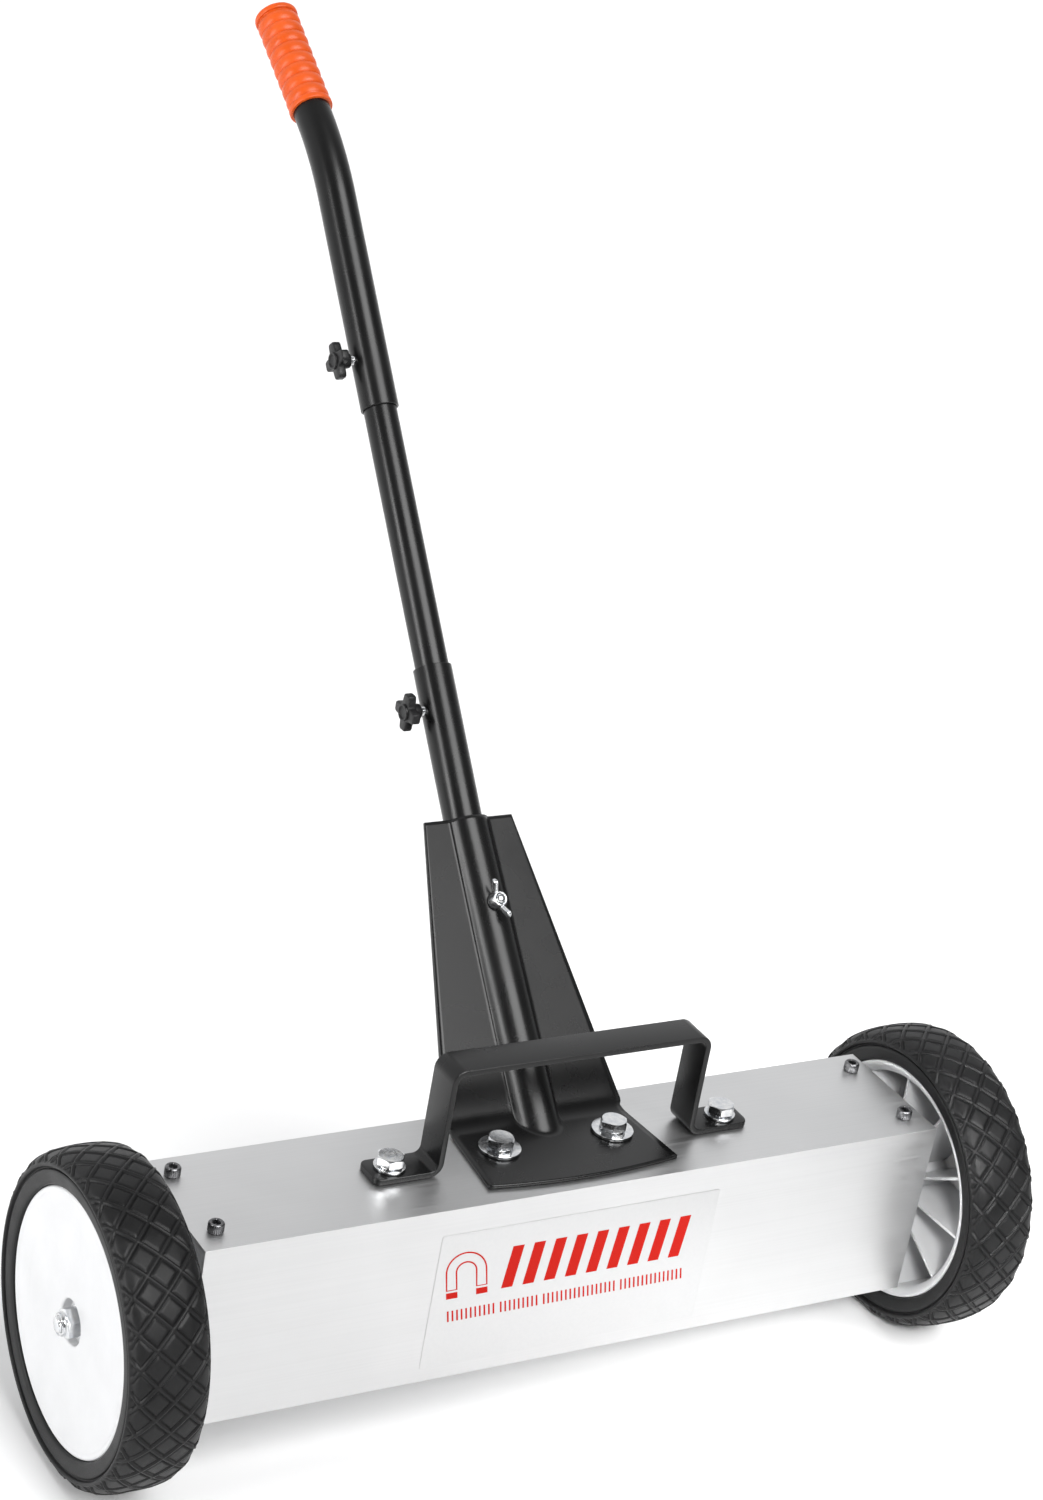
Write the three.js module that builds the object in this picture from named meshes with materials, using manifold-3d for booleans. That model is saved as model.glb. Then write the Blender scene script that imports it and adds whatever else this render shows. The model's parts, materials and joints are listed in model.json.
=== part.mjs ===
// Magnetic nail sweeper: a long aluminium box that rolls on two wheels and carries magnets inside.
// A strap handle on top lifts the magnets off the floor of the box, so that the nails drop.
// A telescopic pole leans back toward the user from a stamped bracket on top of the box.
// Millimetres. +X is along the axle to the right wheel, +Y is back toward the user, +Z is up.
// Every position below is measured from the ground point straight under the middle of the axle.
// The whole sweeper is then moved forward, so that the origin is the middle of its footprint.
import * as THREE from 'three';
import { mergeVertices } from 'three/addons/utils/BufferGeometryUtils.js';
import Module from 'manifold-3d';

const wasm = await Module();
wasm.setup();

// ---------- driving dimensions ----------
const GAP = 0.3;                     // clearance left between pieces that touch
const OVERLAP = 1;                   // how far joined or cutting bodies run past each other
const DRILL_REACH = 5;               // how far a drill reaches either side of thin sheet
const THREAD_SHOWING = 2;            // bolt end standing out of its nut

const TYRE_RADIUS = 101.6;           // 8 inch wheel
const TYRE_WIDTH = 50.8;
const WHEEL_CENTRE_X = 297;          // from the middle of the sweeper to the middle of a tyre
const AXLE_Z = TYRE_RADIUS;
const FOOTPRINT_MIDDLE_Y = 239.8;    // middle of the whole outline, pole included

const BOX_LENGTH = 525;
const BOX_DEPTH = 97;
const BOX_HEIGHT = 123.5;
const BOX_TOP = 172.1;
const BOX_WALL = 2;
const BOX_BOTTOM = BOX_TOP - BOX_HEIGHT;
const BOX_INNER_DEPTH = BOX_DEPTH - 2 * BOX_WALL;
const END_PLATE = 4;
const END_FLANGE_LENGTH = 30;
const END_FLANGE_THICKNESS = 3;
const END_PLATE_OUTER_X = BOX_LENGTH / 2 - GAP;
const END_PLATE_INNER_X = END_PLATE_OUTER_X - END_PLATE;
const CORNER_SCREW_X = 248;
const CORNER_SCREW_Y = 30.5;

// fasteners: shank radius, width across flats, and the height of a head or nut
const M6 = { radius: 3, flats: 10, head: 4 };
const M10 = { radius: 5, flats: 16, head: 6.4, nut: 8, thinNut: 5 };
const NYLOC = { flats: 17, hex: 8, collarRadius: 7, collar: 3 };
const WASHER = 2;
const SMALL_WASHER_RADIUS = 10;
const LARGE_WASHER_RADIUS = 13.5;
const SOCKET_HEAD = { radius: 5, height: 6, socketFlats: 5, socketDepth: 3, shank: 12 };

// wheel, along its own axis: 0 is the middle of the tyre and + is outboard
const RIM_HALF_WIDTH = 22;
const RIM_FLANGE_RADIUS = 80;
const RIM_FLANGE = 3;
const RIM_SEAT_RADIUS = 75.5;
const RIM_BARREL = 3;
const HUB_BOSS_RADIUS = 16.5;
const HUB_RIBS = 11;
const HUB_RIB_THICKNESS = 3;
const HUB_RIB_PHASE = 0.3;           // where the first rib is, as a share of their spacing
const HUB_INNER_END = 26.9;
const HUB_RECESS = { radius: 13.5, depth: 8 };
const RIM_DISH = 1.6;                // how far the outer disc lies behind the rim's edge
const RIM_EDGE = 1;                  // chamfer round the outer edge
const DISC = 3;                      // from the back of the outer disc to the rim's edge
// the side of the tyre, from the rim to the tread: radius, and how far in from the tyre's widest place
const TYRE_SIDE = [[82, 1.6], [91, 1.6], [92, 0.6], [94, 0.6], [98.2, 3.8], [100.6, 9.5], [TYRE_RADIUS, 19]];

// magnets and the tray that carries them
const MAGNET = { length: 100, width: 77.4, height: 25 };
const MAGNET_CENTRES_X = [-187, -52, 52, 187];
const TRAY_LENGTH = 490;
const TRAY_WALL = 3;
const TRAY_WIDTH = MAGNET.width + 2 * GAP + 2 * TRAY_WALL;
const TRAY_BOTTOM = BOX_BOTTOM + BOX_WALL + GAP;
const TRAY_TOP = TRAY_BOTTOM + MAGNET.height + GAP + TRAY_WALL;

// release handle: a flat strap bent into a U with feet
const STRAP_THICKNESS = 4;
const STRAP_WIDTH = 24;
const STRAP_Y = -2;
const STRAP_HALF_SPAN = 93;          // to the outer face of a leg
const STRAP_FOOT_END = 135;
const STRAP_HEIGHT = 73;
const STRAP_BEND = 9;                // outer bend radius
const LIFT_BOLT_X = 120;
const SLEEVE_RADIUS = 8;
const SLEEVE_HOLE_RADIUS = 8.75;

// stamped bracket: a foot, two tapered wings and a pressed channel for the pole
const SHEET = 2.5;
const FOOT_BOTTOM = BOX_TOP + GAP;
const FOOT_TOP = FOOT_BOTTOM + SHEET;
const FOOT_BACK_Y = 27;
const FOOT_FRONT_Y = -34.5;
const FOOT_FRONT_BULGE = 5.5;
const FOOT_BACK_HALF = 62;
const FOOT_FRONT_HALF = 68;
const FOOT_BOLT_X = 41;
const FOOT_BOLT_Y = 1;
const WING_LEAN = THREE.MathUtils.degToRad(43.3);
const WING_HEIGHT = 197;
const WING_TOP_HALF = 32;
const WING_BOTTOM_HALF = 65;
const WING_CORNER_HEIGHT = 5;        // where the wings reach their full width
const CHANNEL_RADIUS = 15.5;
const CHANNEL_DEPTH_BOTTOM = 2;      // channel centre line behind the wings' front face, at the foot
const CHANNEL_DEPTH_TOP = 7;
const CHANNEL_SIDES = 32;

// telescopic pole: stations are measured along its axis from the level of the bracket foot
const POLE_LEAN = THREE.MathUtils.degToRad(41.04);
const POLE_FOOT = new THREE.Vector3(0, 47.2, FOOT_TOP);
const POLE_RADIUS = 12.7;            // 1 inch tube
const POLE_WALL = 1.3;
const MIDDLE_RADIUS = 11.1;          // 7/8 inch tube
const MIDDLE_WALL = 1.5;
const LOWER_START = 12;
const LOWER_END = 286.5;
const MIDDLE_START = 211;
const MIDDLE_END = 531;
const UPPER_START = 464.4;
const BEND_START = 614.5;
const BEND_RADIUS = 220;
const BEND_ANGLE = THREE.MathUtils.degToRad(16);
const GRIP_FROM_BEND = 7.3;
const GRIP = { length: 84, cap: 3.4, ribs: 8, valley: 13.9, crest: 14.7, flange: 15.5, flangeLength: 4 };
const GRIP_GROOVE = 1;               // beside each flange
const GRIP_RIB = [0.3, 0.7];         // where a rib's crest starts and ends, as shares of the rib
const GRIP_EDGE = 1.5;               // chamfer round the top

// wing nut and its bolt through the pole
const PIN_STATION = 126;
const PIN_CREST = 20.6;              // wing nut seat, ahead of the pole axis
const WING_NUT = { hubRadius: 6, hubTop: 4.6, height: 7, foot: 1.5, waist: 5.5, thickness: 3.2 };
const WING_LUG = { radius: 2.4, x: 12, z: 9.8 };
const WING_NUT_TURN = THREE.MathUtils.degToRad(110);

// clamp knobs, measured out from the pole axis
const KNOB_STATIONS = { lower: 258.2, upper: 498.8 };
const KNOB_TURNS = { lower: THREE.MathUtils.degToRad(-40), upper: 0 };
const KNOB = { start: 16, armStart: 21.2, armEnd: 27.2, end: 28.5, hubRadius: 5.8, boreDepth: 9 };
const KNOB_ARMS = { count: 4, reach: 12.5, halfWidth: 3.9, chamfer: 1.5 };

const LABEL = { width: 200, height: 96, thickness: 0.4, x: -4, z: 106 };

// ---------- materials ----------
function paint(color, roughness, metalness) {
  return new THREE.MeshStandardMaterial({ color, roughness, metalness });
}

const satinAluminium = paint(0xd9dadb, 0.35, 1);
const galvanised = paint(0xb9bcc0, 0.4, 1);
const zincPlate = paint(0xc9ccd0, 0.25, 1);
const blackenedSteel = paint(0x53565b, 0.3, 1);
const blackPaint = paint(0x17181a, 0.45, 0.1);
const blackPlastic = paint(0x1d1e20, 0.55, 0);
const blackRubber = paint(0x141415, 0.85, 0);
const whitePlastic = paint(0xf1f2f4, 0.4, 0);
const orangeVinyl = paint(0xf4591c, 0.45, 0);
const ferrite = paint(0x3a3b3e, 0.8, 0.1);
const whiteFilm = paint(0xf3f3f2, 0.5, 0);

// ---------- solids ----------
const SIDES = 20;
const WHEEL_SIDES = 40;
const SMALL_SIDES = 16;
const BEND_SEGMENTS = 6;

// A block by its size and centre.
function block(width, depth, height, x, y, z) {
  return new THREE.BoxGeometry(width, depth, height).translate(x, y, z);
}

// A round bar standing on the XY plane, along +Z.
function rod(radius, length, sides = SIDES) {
  return new THREE.CylinderGeometry(radius, radius, length, sides)
    .rotateX(Math.PI / 2)
    .translate(0, 0, length / 2);
}

// A round cutting tool through the XY plane.
function drill(radius, reach = DRILL_REACH, sides = SMALL_SIDES) {
  return rod(radius, 2 * reach, sides).translate(0, 0, -reach);
}

// A hexagonal bar standing on the XY plane.
function hexagon(flats, height) {
  return rod(flats / Math.sqrt(3), height, 6);
}

// A closed outline of [radius, height] points turned round the Z axis, anticlockwise in that plane.
function turned(outline, sides = SIDES) {
  const points = outline.map(([radius, height]) => new THREE.Vector2(radius, height));
  return new THREE.LatheGeometry(points, sides).rotateX(Math.PI / 2);
}

// A round tube or washer standing on the XY plane.
function ring(outer, inner, height, sides = SIDES) {
  return turned([[inner, 0], [outer, 0], [outer, height], [inner, height], [inner, 0]], sides);
}

function washer(radius) {
  return ring(radius, M10.radius + GAP, WASHER, SMALL_SIDES);
}

// A flat outline in XY, given its thickness along +Z.
function plate(shape, thickness, curveSegments = 8) {
  return new THREE.ExtrudeGeometry(shape, { depth: thickness, bevelEnabled: false, curveSegments });
}

// The closed body of a geometry, ready to be joined or cut.
function body(geometry) {
  const bare = new THREE.BufferGeometry();
  bare.setAttribute('position', geometry.attributes.position.clone());
  if (geometry.index) {
    bare.setIndex(geometry.index.clone());
  }
  const merged = mergeVertices(bare, 1e-4);
  const corners = merged.index.array;
  const kept = [];
  for (let i = 0; i < corners.length; i += 3) {
    const [a, b, c] = corners.subarray(i, i + 3);
    if (a !== b && b !== c && c !== a) {
      kept.push(a, b, c);
    }
  }
  return new wasm.Manifold(new wasm.Mesh({
    numProp: 3,
    vertProperties: merged.attributes.position.array,
    triVerts: new Uint32Array(kept),
  }));
}

// The geometry of a joined or cut body.
function geometryOf(solid) {
  const result = solid.getMesh();
  const geometry = new THREE.BufferGeometry();
  geometry.setAttribute('position', new THREE.BufferAttribute(result.vertProperties, 3));
  geometry.setIndex(new THREE.BufferAttribute(result.triVerts, 1));
  geometry.computeVertexNormals();
  return geometry;
}

function joined(...geometries) {
  return geometryOf(geometries.map(body).reduce((all, next) => all.add(next)));
}

function cut(geometry, ...tools) {
  return geometryOf(tools.map(body).reduce((left, tool) => left.subtract(tool), body(geometry)));
}

function common(geometry, other) {
  return geometryOf(body(geometry).intersect(body(other)));
}

const sweeper = new THREE.Group();
sweeper.position.y = -FOOTPRINT_MIDDLE_Y;

function piece(name, geometry, material, parent = sweeper) {
  const mesh = new THREE.Mesh(geometry, material);
  mesh.name = name;
  parent.add(mesh);
  return mesh;
}

const SIDE_NAMES = [['left', -1], ['right', 1]];

// ---------- fasteners ----------
// A hexagon head bolt whose head stands on the XY plane and whose shank goes down from it.
function hexBolt(size, length) {
  const shank = rod(size.radius, length + OVERLAP, SMALL_SIDES).translate(0, 0, -length);
  return joined(hexagon(size.flats, size.head), shank);
}

function nut(size, height) {
  return cut(hexagon(size.flats, height), drill(size.radius + GAP, height + OVERLAP));
}

function lockNut() {
  const hex = hexagon(NYLOC.flats, NYLOC.hex);
  const collar = rod(NYLOC.collarRadius, NYLOC.hex + NYLOC.collar);
  return cut(joined(hex, collar), drill(M10.radius + GAP, NYLOC.hex + NYLOC.collar + OVERLAP));
}

function socketScrew() {
  const head = rod(SOCKET_HEAD.radius, SOCKET_HEAD.height);
  const shank = rod(M6.radius, SOCKET_HEAD.shank + OVERLAP, SMALL_SIDES).translate(0, 0, -SOCKET_HEAD.shank);
  const socket = hexagon(SOCKET_HEAD.socketFlats, SOCKET_HEAD.socketDepth + OVERLAP);
  return cut(joined(head, shank), socket.translate(0, 0, SOCKET_HEAD.height - SOCKET_HEAD.socketDepth));
}

// ---------- box ----------
function cornerPlaces() {
  const places = [];
  for (const [side, sideSign] of SIDE_NAMES) {
    for (const [end, endSign] of [['front', -1], ['rear', 1]]) {
      places.push([`${side}_${end}`, sideSign * CORNER_SCREW_X, endSign * CORNER_SCREW_Y]);
    }
  }
  return places;
}

function boxShell() {
  const middle = BOX_BOTTOM + BOX_HEIGHT / 2;
  const outside = block(BOX_LENGTH, BOX_DEPTH, BOX_HEIGHT, 0, 0, middle);
  const inside = block(BOX_LENGTH + 2 * OVERLAP, BOX_INNER_DEPTH, BOX_HEIGHT - 2 * BOX_WALL, 0, 0, middle);
  const hole = (radius, x, y) => drill(radius, DRILL_REACH, SIDES).translate(x, y, BOX_TOP - BOX_WALL / 2);
  const holes = cornerPlaces().map(([, x, y]) => hole(M6.radius + GAP, x, y));
  for (const [, sign] of SIDE_NAMES) {
    holes.push(hole(M10.radius + GAP, sign * FOOT_BOLT_X, FOOT_BOLT_Y));
    holes.push(hole(SLEEVE_HOLE_RADIUS, sign * LIFT_BOLT_X, STRAP_Y));
  }
  return cut(outside, inside, ...holes);
}

// The plate that closes one end and carries the axle bolt, with a flange under the box top.
function endPlate(sign) {
  const depth = BOX_INNER_DEPTH - 2 * GAP;
  const bottom = BOX_BOTTOM + BOX_WALL + GAP;
  const top = BOX_TOP - BOX_WALL - GAP;
  const wallX = END_PLATE_INNER_X + END_PLATE / 2;
  const wall = block(END_PLATE, depth, top - bottom, wallX, 0, (top + bottom) / 2);
  const flangeX = END_PLATE_INNER_X - END_FLANGE_LENGTH / 2;
  const flangeZ = top - END_FLANGE_THICKNESS / 2;
  const flangeLength = END_FLANGE_LENGTH + 2 * OVERLAP;
  const flange = block(flangeLength, depth, END_FLANGE_THICKNESS, flangeX + OVERLAP, 0, flangeZ);
  const axleHole = drill(M10.radius + GAP).rotateY(Math.PI / 2).translate(wallX, 0, AXLE_Z);
  const screwHoles = [-1, 1].map((end) =>
    drill(M6.radius + GAP).translate(CORNER_SCREW_X, end * CORNER_SCREW_Y, flangeZ));
  const plateRight = cut(joined(wall, flange), axleHole, ...screwHoles);
  return sign > 0 ? plateRight : plateRight.rotateZ(Math.PI);
}

piece('housing_shell', boxShell(), satinAluminium);
for (const [side, sign] of SIDE_NAMES) {
  piece(`end_plate_${side}`, endPlate(sign), galvanised);
}
for (const [place, x, y] of cornerPlaces()) {
  piece(`corner_screw_${place}`, socketScrew(), blackenedSteel).position.set(x, y, BOX_TOP + GAP);
}

function label() {
  const y = -BOX_DEPTH / 2 - GAP - LABEL.thickness / 2;
  return block(LABEL.width, LABEL.thickness, LABEL.height, LABEL.x, y, LABEL.z);
}

piece('front_label', label(), whiteFilm);

// ---------- magnets and their tray ----------
function tray() {
  const height = TRAY_TOP - TRAY_BOTTOM;
  const middle = TRAY_BOTTOM + height / 2;
  const outside = block(TRAY_LENGTH, TRAY_WIDTH, height, 0, 0, middle);
  const inside = block(TRAY_LENGTH + 2 * OVERLAP, TRAY_WIDTH - 2 * TRAY_WALL, height, 0, 0, middle - TRAY_WALL);
  const holes = SIDE_NAMES.map(([, sign]) =>
    drill(M10.radius + GAP).translate(sign * LIFT_BOLT_X, STRAP_Y, TRAY_TOP - TRAY_WALL / 2));
  return cut(outside, inside, ...holes);
}

piece('magnet_tray', tray(), galvanised);
MAGNET_CENTRES_X.forEach((x, index) => {
  const z = TRAY_BOTTOM + MAGNET.height / 2;
  piece(`magnet_${index + 1}`, block(MAGNET.length, MAGNET.width, MAGNET.height, x, 0, z), ferrite);
});

// ---------- release handle ----------
// The strap's side outline in XZ: feet, legs and top, with rounded bends.
function strapOutline() {
  const inner = STRAP_BEND - STRAP_THICKNESS;
  const outline = new THREE.Shape();
  const legIn = STRAP_HALF_SPAN - STRAP_THICKNESS;
  const topIn = STRAP_HEIGHT - STRAP_THICKNESS;
  outline.moveTo(-STRAP_FOOT_END, 0);
  outline.lineTo(-(legIn + STRAP_BEND), 0);
  outline.absarc(-(legIn + STRAP_BEND), STRAP_BEND, STRAP_BEND, -Math.PI / 2, 0, false);
  outline.lineTo(-legIn, topIn - inner);
  outline.absarc(-(legIn - inner), topIn - inner, inner, Math.PI, Math.PI / 2, true);
  outline.lineTo(legIn - inner, topIn);
  outline.absarc(legIn - inner, topIn - inner, inner, Math.PI / 2, 0, true);
  outline.lineTo(legIn, STRAP_BEND);
  outline.absarc(legIn + STRAP_BEND, STRAP_BEND, STRAP_BEND, Math.PI, 1.5 * Math.PI, false);
  outline.lineTo(STRAP_FOOT_END, 0);
  outline.lineTo(STRAP_FOOT_END, STRAP_THICKNESS);
  outline.lineTo(legIn + STRAP_BEND, STRAP_THICKNESS);
  outline.absarc(legIn + STRAP_BEND, STRAP_BEND, inner, 1.5 * Math.PI, Math.PI, true);
  outline.lineTo(STRAP_HALF_SPAN, STRAP_HEIGHT - STRAP_BEND);
  outline.absarc(legIn - inner, topIn - inner, STRAP_BEND, 0, Math.PI / 2, false);
  outline.lineTo(-(legIn - inner), STRAP_HEIGHT);
  outline.absarc(-(legIn - inner), topIn - inner, STRAP_BEND, Math.PI / 2, Math.PI, false);
  outline.lineTo(-STRAP_HALF_SPAN, STRAP_BEND);
  outline.absarc(-(legIn + STRAP_BEND), STRAP_BEND, inner, 0, -Math.PI / 2, true);
  outline.lineTo(-STRAP_FOOT_END, STRAP_THICKNESS);
  return outline;
}

function strapHandle() {
  const strap = plate(strapOutline(), STRAP_WIDTH, BEND_SEGMENTS)
    .rotateX(Math.PI / 2)
    .translate(0, STRAP_Y + STRAP_WIDTH / 2, BOX_TOP + GAP);
  const holes = SIDE_NAMES.map(([, sign]) =>
    drill(M10.radius + GAP).translate(sign * LIFT_BOLT_X, STRAP_Y, BOX_TOP + GAP + STRAP_THICKNESS / 2));
  return cut(strap, ...holes);
}

piece('release_handle', strapHandle(), blackPaint);
for (const [side, sign] of SIDE_NAMES) {
  const x = sign * LIFT_BOLT_X;
  const washerZ = BOX_TOP + 2 * GAP + STRAP_THICKNESS;
  const headZ = washerZ + WASHER + GAP;
  const nutZ = TRAY_TOP - TRAY_WALL - GAP - M10.nut;
  const boltEnd = nutZ - THREAD_SHOWING;
  const sleeve = ring(SLEEVE_RADIUS, M10.radius + GAP, BOX_TOP - TRAY_TOP - GAP, SMALL_SIDES);
  piece(`lift_washer_${side}`, washer(SMALL_WASHER_RADIUS), zincPlate)
    .position.set(x, STRAP_Y, washerZ);
  piece(`lift_bolt_${side}`, hexBolt(M10, headZ - boltEnd), zincPlate).position.set(x, STRAP_Y, headZ);
  piece(`lift_sleeve_${side}`, sleeve, zincPlate).position.set(x, STRAP_Y, TRAY_TOP + GAP);
  piece(`lift_nut_${side}`, nut(M10, M10.nut), zincPlate).position.set(x, STRAP_Y, nutZ);
}

// ---------- bracket ----------
// Local frame of the wings: origin on the bend line, +Z up the wings, -Y out of their front face.
const wingFrame = new THREE.Matrix4()
  .makeRotationX(-WING_LEAN)
  .setPosition(0, FOOT_BACK_Y, FOOT_TOP);

const poleFrame = new THREE.Matrix4()
  .makeRotationX(-POLE_LEAN)
  .setPosition(POLE_FOOT);

function bracketFoot() {
  const outline = new THREE.Shape();
  outline.moveTo(-FOOT_BACK_HALF, FOOT_BACK_Y + SHEET);
  outline.lineTo(-FOOT_FRONT_HALF, FOOT_FRONT_Y);
  outline.quadraticCurveTo(0, FOOT_FRONT_Y - 2 * FOOT_FRONT_BULGE, FOOT_FRONT_HALF, FOOT_FRONT_Y);
  outline.lineTo(FOOT_BACK_HALF, FOOT_BACK_Y + SHEET);
  return plate(outline, SHEET).translate(0, 0, FOOT_BOTTOM);
}

function bracketWings() {
  const below = 6;                   // reaches down into the fold at the foot
  const outline = new THREE.Shape();
  outline.moveTo(-FOOT_BACK_HALF, -below);
  outline.lineTo(FOOT_BACK_HALF, -below);
  outline.lineTo(FOOT_BACK_HALF, 0);
  outline.lineTo(WING_BOTTOM_HALF, WING_CORNER_HEIGHT);
  outline.lineTo(WING_TOP_HALF, WING_HEIGHT);
  outline.lineTo(-WING_TOP_HALF, WING_HEIGHT);
  outline.lineTo(-WING_BOTTOM_HALF, WING_CORNER_HEIGHT);
  outline.lineTo(-FOOT_BACK_HALF, 0);
  return plate(outline, SHEET).rotateX(Math.PI / 2).translate(0, SHEET, 0).applyMatrix4(wingFrame);
}

// A round bar along the pressed channel; its centre line sinks behind the wings toward the top.
function channelBar(radius) {
  const rise = CHANNEL_DEPTH_TOP - CHANNEL_DEPTH_BOTTOM;
  const tilt = Math.atan2(rise, WING_HEIGHT);
  const overrun = 60;
  return rod(radius, WING_HEIGHT + 2 * overrun, CHANNEL_SIDES)
    .translate(0, 0, -overrun)
    .rotateX(-tilt)
    .translate(0, CHANNEL_DEPTH_BOTTOM, 0)
    .applyMatrix4(wingFrame);
}

function bracket() {
  const room = 40;                   // wide enough for the whole channel
  const inFront = block(room, room, WING_HEIGHT + room, 0, SHEET - room / 2, (WING_HEIGHT - room) / 2)
    .applyMatrix4(wingFrame);
  const channel = common(channelBar(CHANNEL_RADIUS), inFront);
  const underFoot = block(BOX_LENGTH, 2 * BOX_DEPTH, BOX_HEIGHT, 0, 0, FOOT_BOTTOM - BOX_HEIGHT / 2);
  const pinHole = rod(M6.radius + GAP, PIN_CREST + DRILL_REACH, SMALL_SIDES)
    .rotateX(Math.PI / 2)
    .translate(0, 0, PIN_STATION)
    .applyMatrix4(poleFrame);
  const boltHoles = SIDE_NAMES.map(([, sign]) =>
    drill(M10.radius + GAP).translate(sign * FOOT_BOLT_X, FOOT_BOLT_Y, FOOT_BOTTOM + SHEET / 2));
  const pressed = joined(bracketFoot(), bracketWings(), channel);
  return cut(pressed, channelBar(CHANNEL_RADIUS - SHEET), underFoot, pinHole, ...boltHoles);
}

piece('bracket_plate', bracket(), blackPaint);
for (const [side, sign] of SIDE_NAMES) {
  const x = sign * FOOT_BOLT_X;
  const washerZ = FOOT_TOP + GAP;
  const headZ = washerZ + WASHER + GAP;
  const innerWasherZ = BOX_TOP - BOX_WALL - GAP - WASHER;
  const nutZ = innerWasherZ - GAP - M10.nut;
  const boltEnd = nutZ - THREAD_SHOWING;
  piece(`bracket_washer_${side}`, washer(LARGE_WASHER_RADIUS), zincPlate)
    .position.set(x, FOOT_BOLT_Y, washerZ);
  piece(`bracket_bolt_${side}`, hexBolt(M10, headZ - boltEnd), zincPlate).position.set(x, FOOT_BOLT_Y, headZ);
  piece(`bracket_inner_washer_${side}`, washer(LARGE_WASHER_RADIUS), zincPlate)
    .position.set(x, FOOT_BOLT_Y, innerWasherZ);
  piece(`bracket_nut_${side}`, nut(M10, M10.nut), zincPlate).position.set(x, FOOT_BOLT_Y, nutZ);
}

// ---------- pole ----------
// Local frame of the pole: +Z along its axis, -Y forward and up, X across.
const pole = new THREE.Group();
pole.applyMatrix4(poleFrame);
sweeper.add(pole);

// The threaded hole for a clamp stud, through the left wall of a tube only.
function studHole(station) {
  return rod(M6.radius + GAP, POLE_RADIUS + DRILL_REACH, SMALL_SIDES)
    .rotateY(-Math.PI / 2)
    .translate(0, 0, station);
}

function lowerTube() {
  const tube = ring(POLE_RADIUS, POLE_RADIUS - POLE_WALL, LOWER_END - LOWER_START).translate(0, 0, LOWER_START);
  const pinHole = drill(M6.radius + GAP, POLE_RADIUS + DRILL_REACH).rotateX(Math.PI / 2).translate(0, 0, PIN_STATION);
  return cut(tube, pinHole, studHole(KNOB_STATIONS.lower));
}

function middleTube() {
  return ring(MIDDLE_RADIUS, MIDDLE_RADIUS - MIDDLE_WALL, MIDDLE_END - MIDDLE_START)
    .translate(0, 0, MIDDLE_START);
}

// The upper tube's centre line: straight, a gentle bend back toward the user, then straight to the end.
class UpperCentreLine extends THREE.Curve {
  constructor() {
    super();
    this.before = BEND_START - UPPER_START;
    this.bend = BEND_RADIUS * BEND_ANGLE;
    this.total = this.before + this.bend + GRIP_FROM_BEND + GRIP.length - GRIP.cap - GAP;
  }

  at(distance) {
    const angle = THREE.MathUtils.clamp((distance - this.before) / BEND_RADIUS, 0, BEND_ANGLE);
    const straightBefore = Math.min(distance, this.before);
    const straightAfter = Math.max(distance - this.before - this.bend, 0);
    const back = BEND_RADIUS * (1 - Math.cos(angle)) + straightAfter * Math.sin(angle);
    const along = straightBefore + BEND_RADIUS * Math.sin(angle) + straightAfter * Math.cos(angle);
    return new THREE.Vector3(0, back, UPPER_START + along);
  }

  getPoint(t) {
    return this.at(t * this.total);
  }
}

const upperLine = new UpperCentreLine();

function upperTube() {
  const section = new THREE.Shape().absarc(0, 0, POLE_RADIUS, 0, 2 * Math.PI, false);
  section.holes.push(new THREE.Path().absarc(0, 0, POLE_RADIUS - POLE_WALL, 0, 2 * Math.PI, true));
  const tube = new THREE.ExtrudeGeometry(section, { extrudePath: upperLine, steps: 14, curveSegments: SIDES / 2 });
  return cut(tube, studHole(KNOB_STATIONS.upper));
}

// A ribbed sleeve with a flange at each end and a closed top, standing on the XY plane.
function grip() {
  const { length, cap, ribs, valley, crest, flange, flangeLength } = GRIP;
  const bore = POLE_RADIUS + GAP;
  const outline = [[0, length - cap], [bore, length - cap], [bore, 0], [flange, 0], [flange, flangeLength]];
  const firstRib = flangeLength + GRIP_GROOVE;
  const pitch = (length - 2 * firstRib) / ribs;
  for (let rib = 0; rib < ribs; rib += 1) {
    const start = firstRib + rib * pitch;
    outline.push([valley, start], ...GRIP_RIB.map((share) => [crest, start + pitch * share]));
  }
  outline.push([valley, length - firstRib], [flange, length - flangeLength]);
  outline.push([flange, length - GRIP_EDGE], [flange - GRIP_EDGE, length], [0, length]);
  return turned(outline);
}

piece('lower_tube', lowerTube(), blackPaint, pole);
piece('middle_tube', middleTube(), blackPaint, pole);
piece('upper_tube', upperTube(), blackPaint, pole);

const gripMesh = piece('grip', grip(), orangeVinyl, pole);
gripMesh.position.copy(upperLine.at(upperLine.before + upperLine.bend + GRIP_FROM_BEND));
gripMesh.rotation.x = -BEND_ANGLE;

// A cross of straight arms with chamfered tips.
function knobOutline() {
  const { count, reach, halfWidth, chamfer } = KNOB_ARMS;
  const arm = [
    [halfWidth, halfWidth], [halfWidth, reach - chamfer], [halfWidth - chamfer, reach],
    [chamfer - halfWidth, reach], [-halfWidth, reach - chamfer],
  ];
  const points = [];
  for (let index = 0; index < count; index += 1) {
    const angle = (2 * Math.PI * index) / count;
    points.push(...arm.map(([x, y]) => new THREE.Vector2(x, y).rotateAround(new THREE.Vector2(), angle)));
  }
  return new THREE.Shape(points);
}

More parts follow.
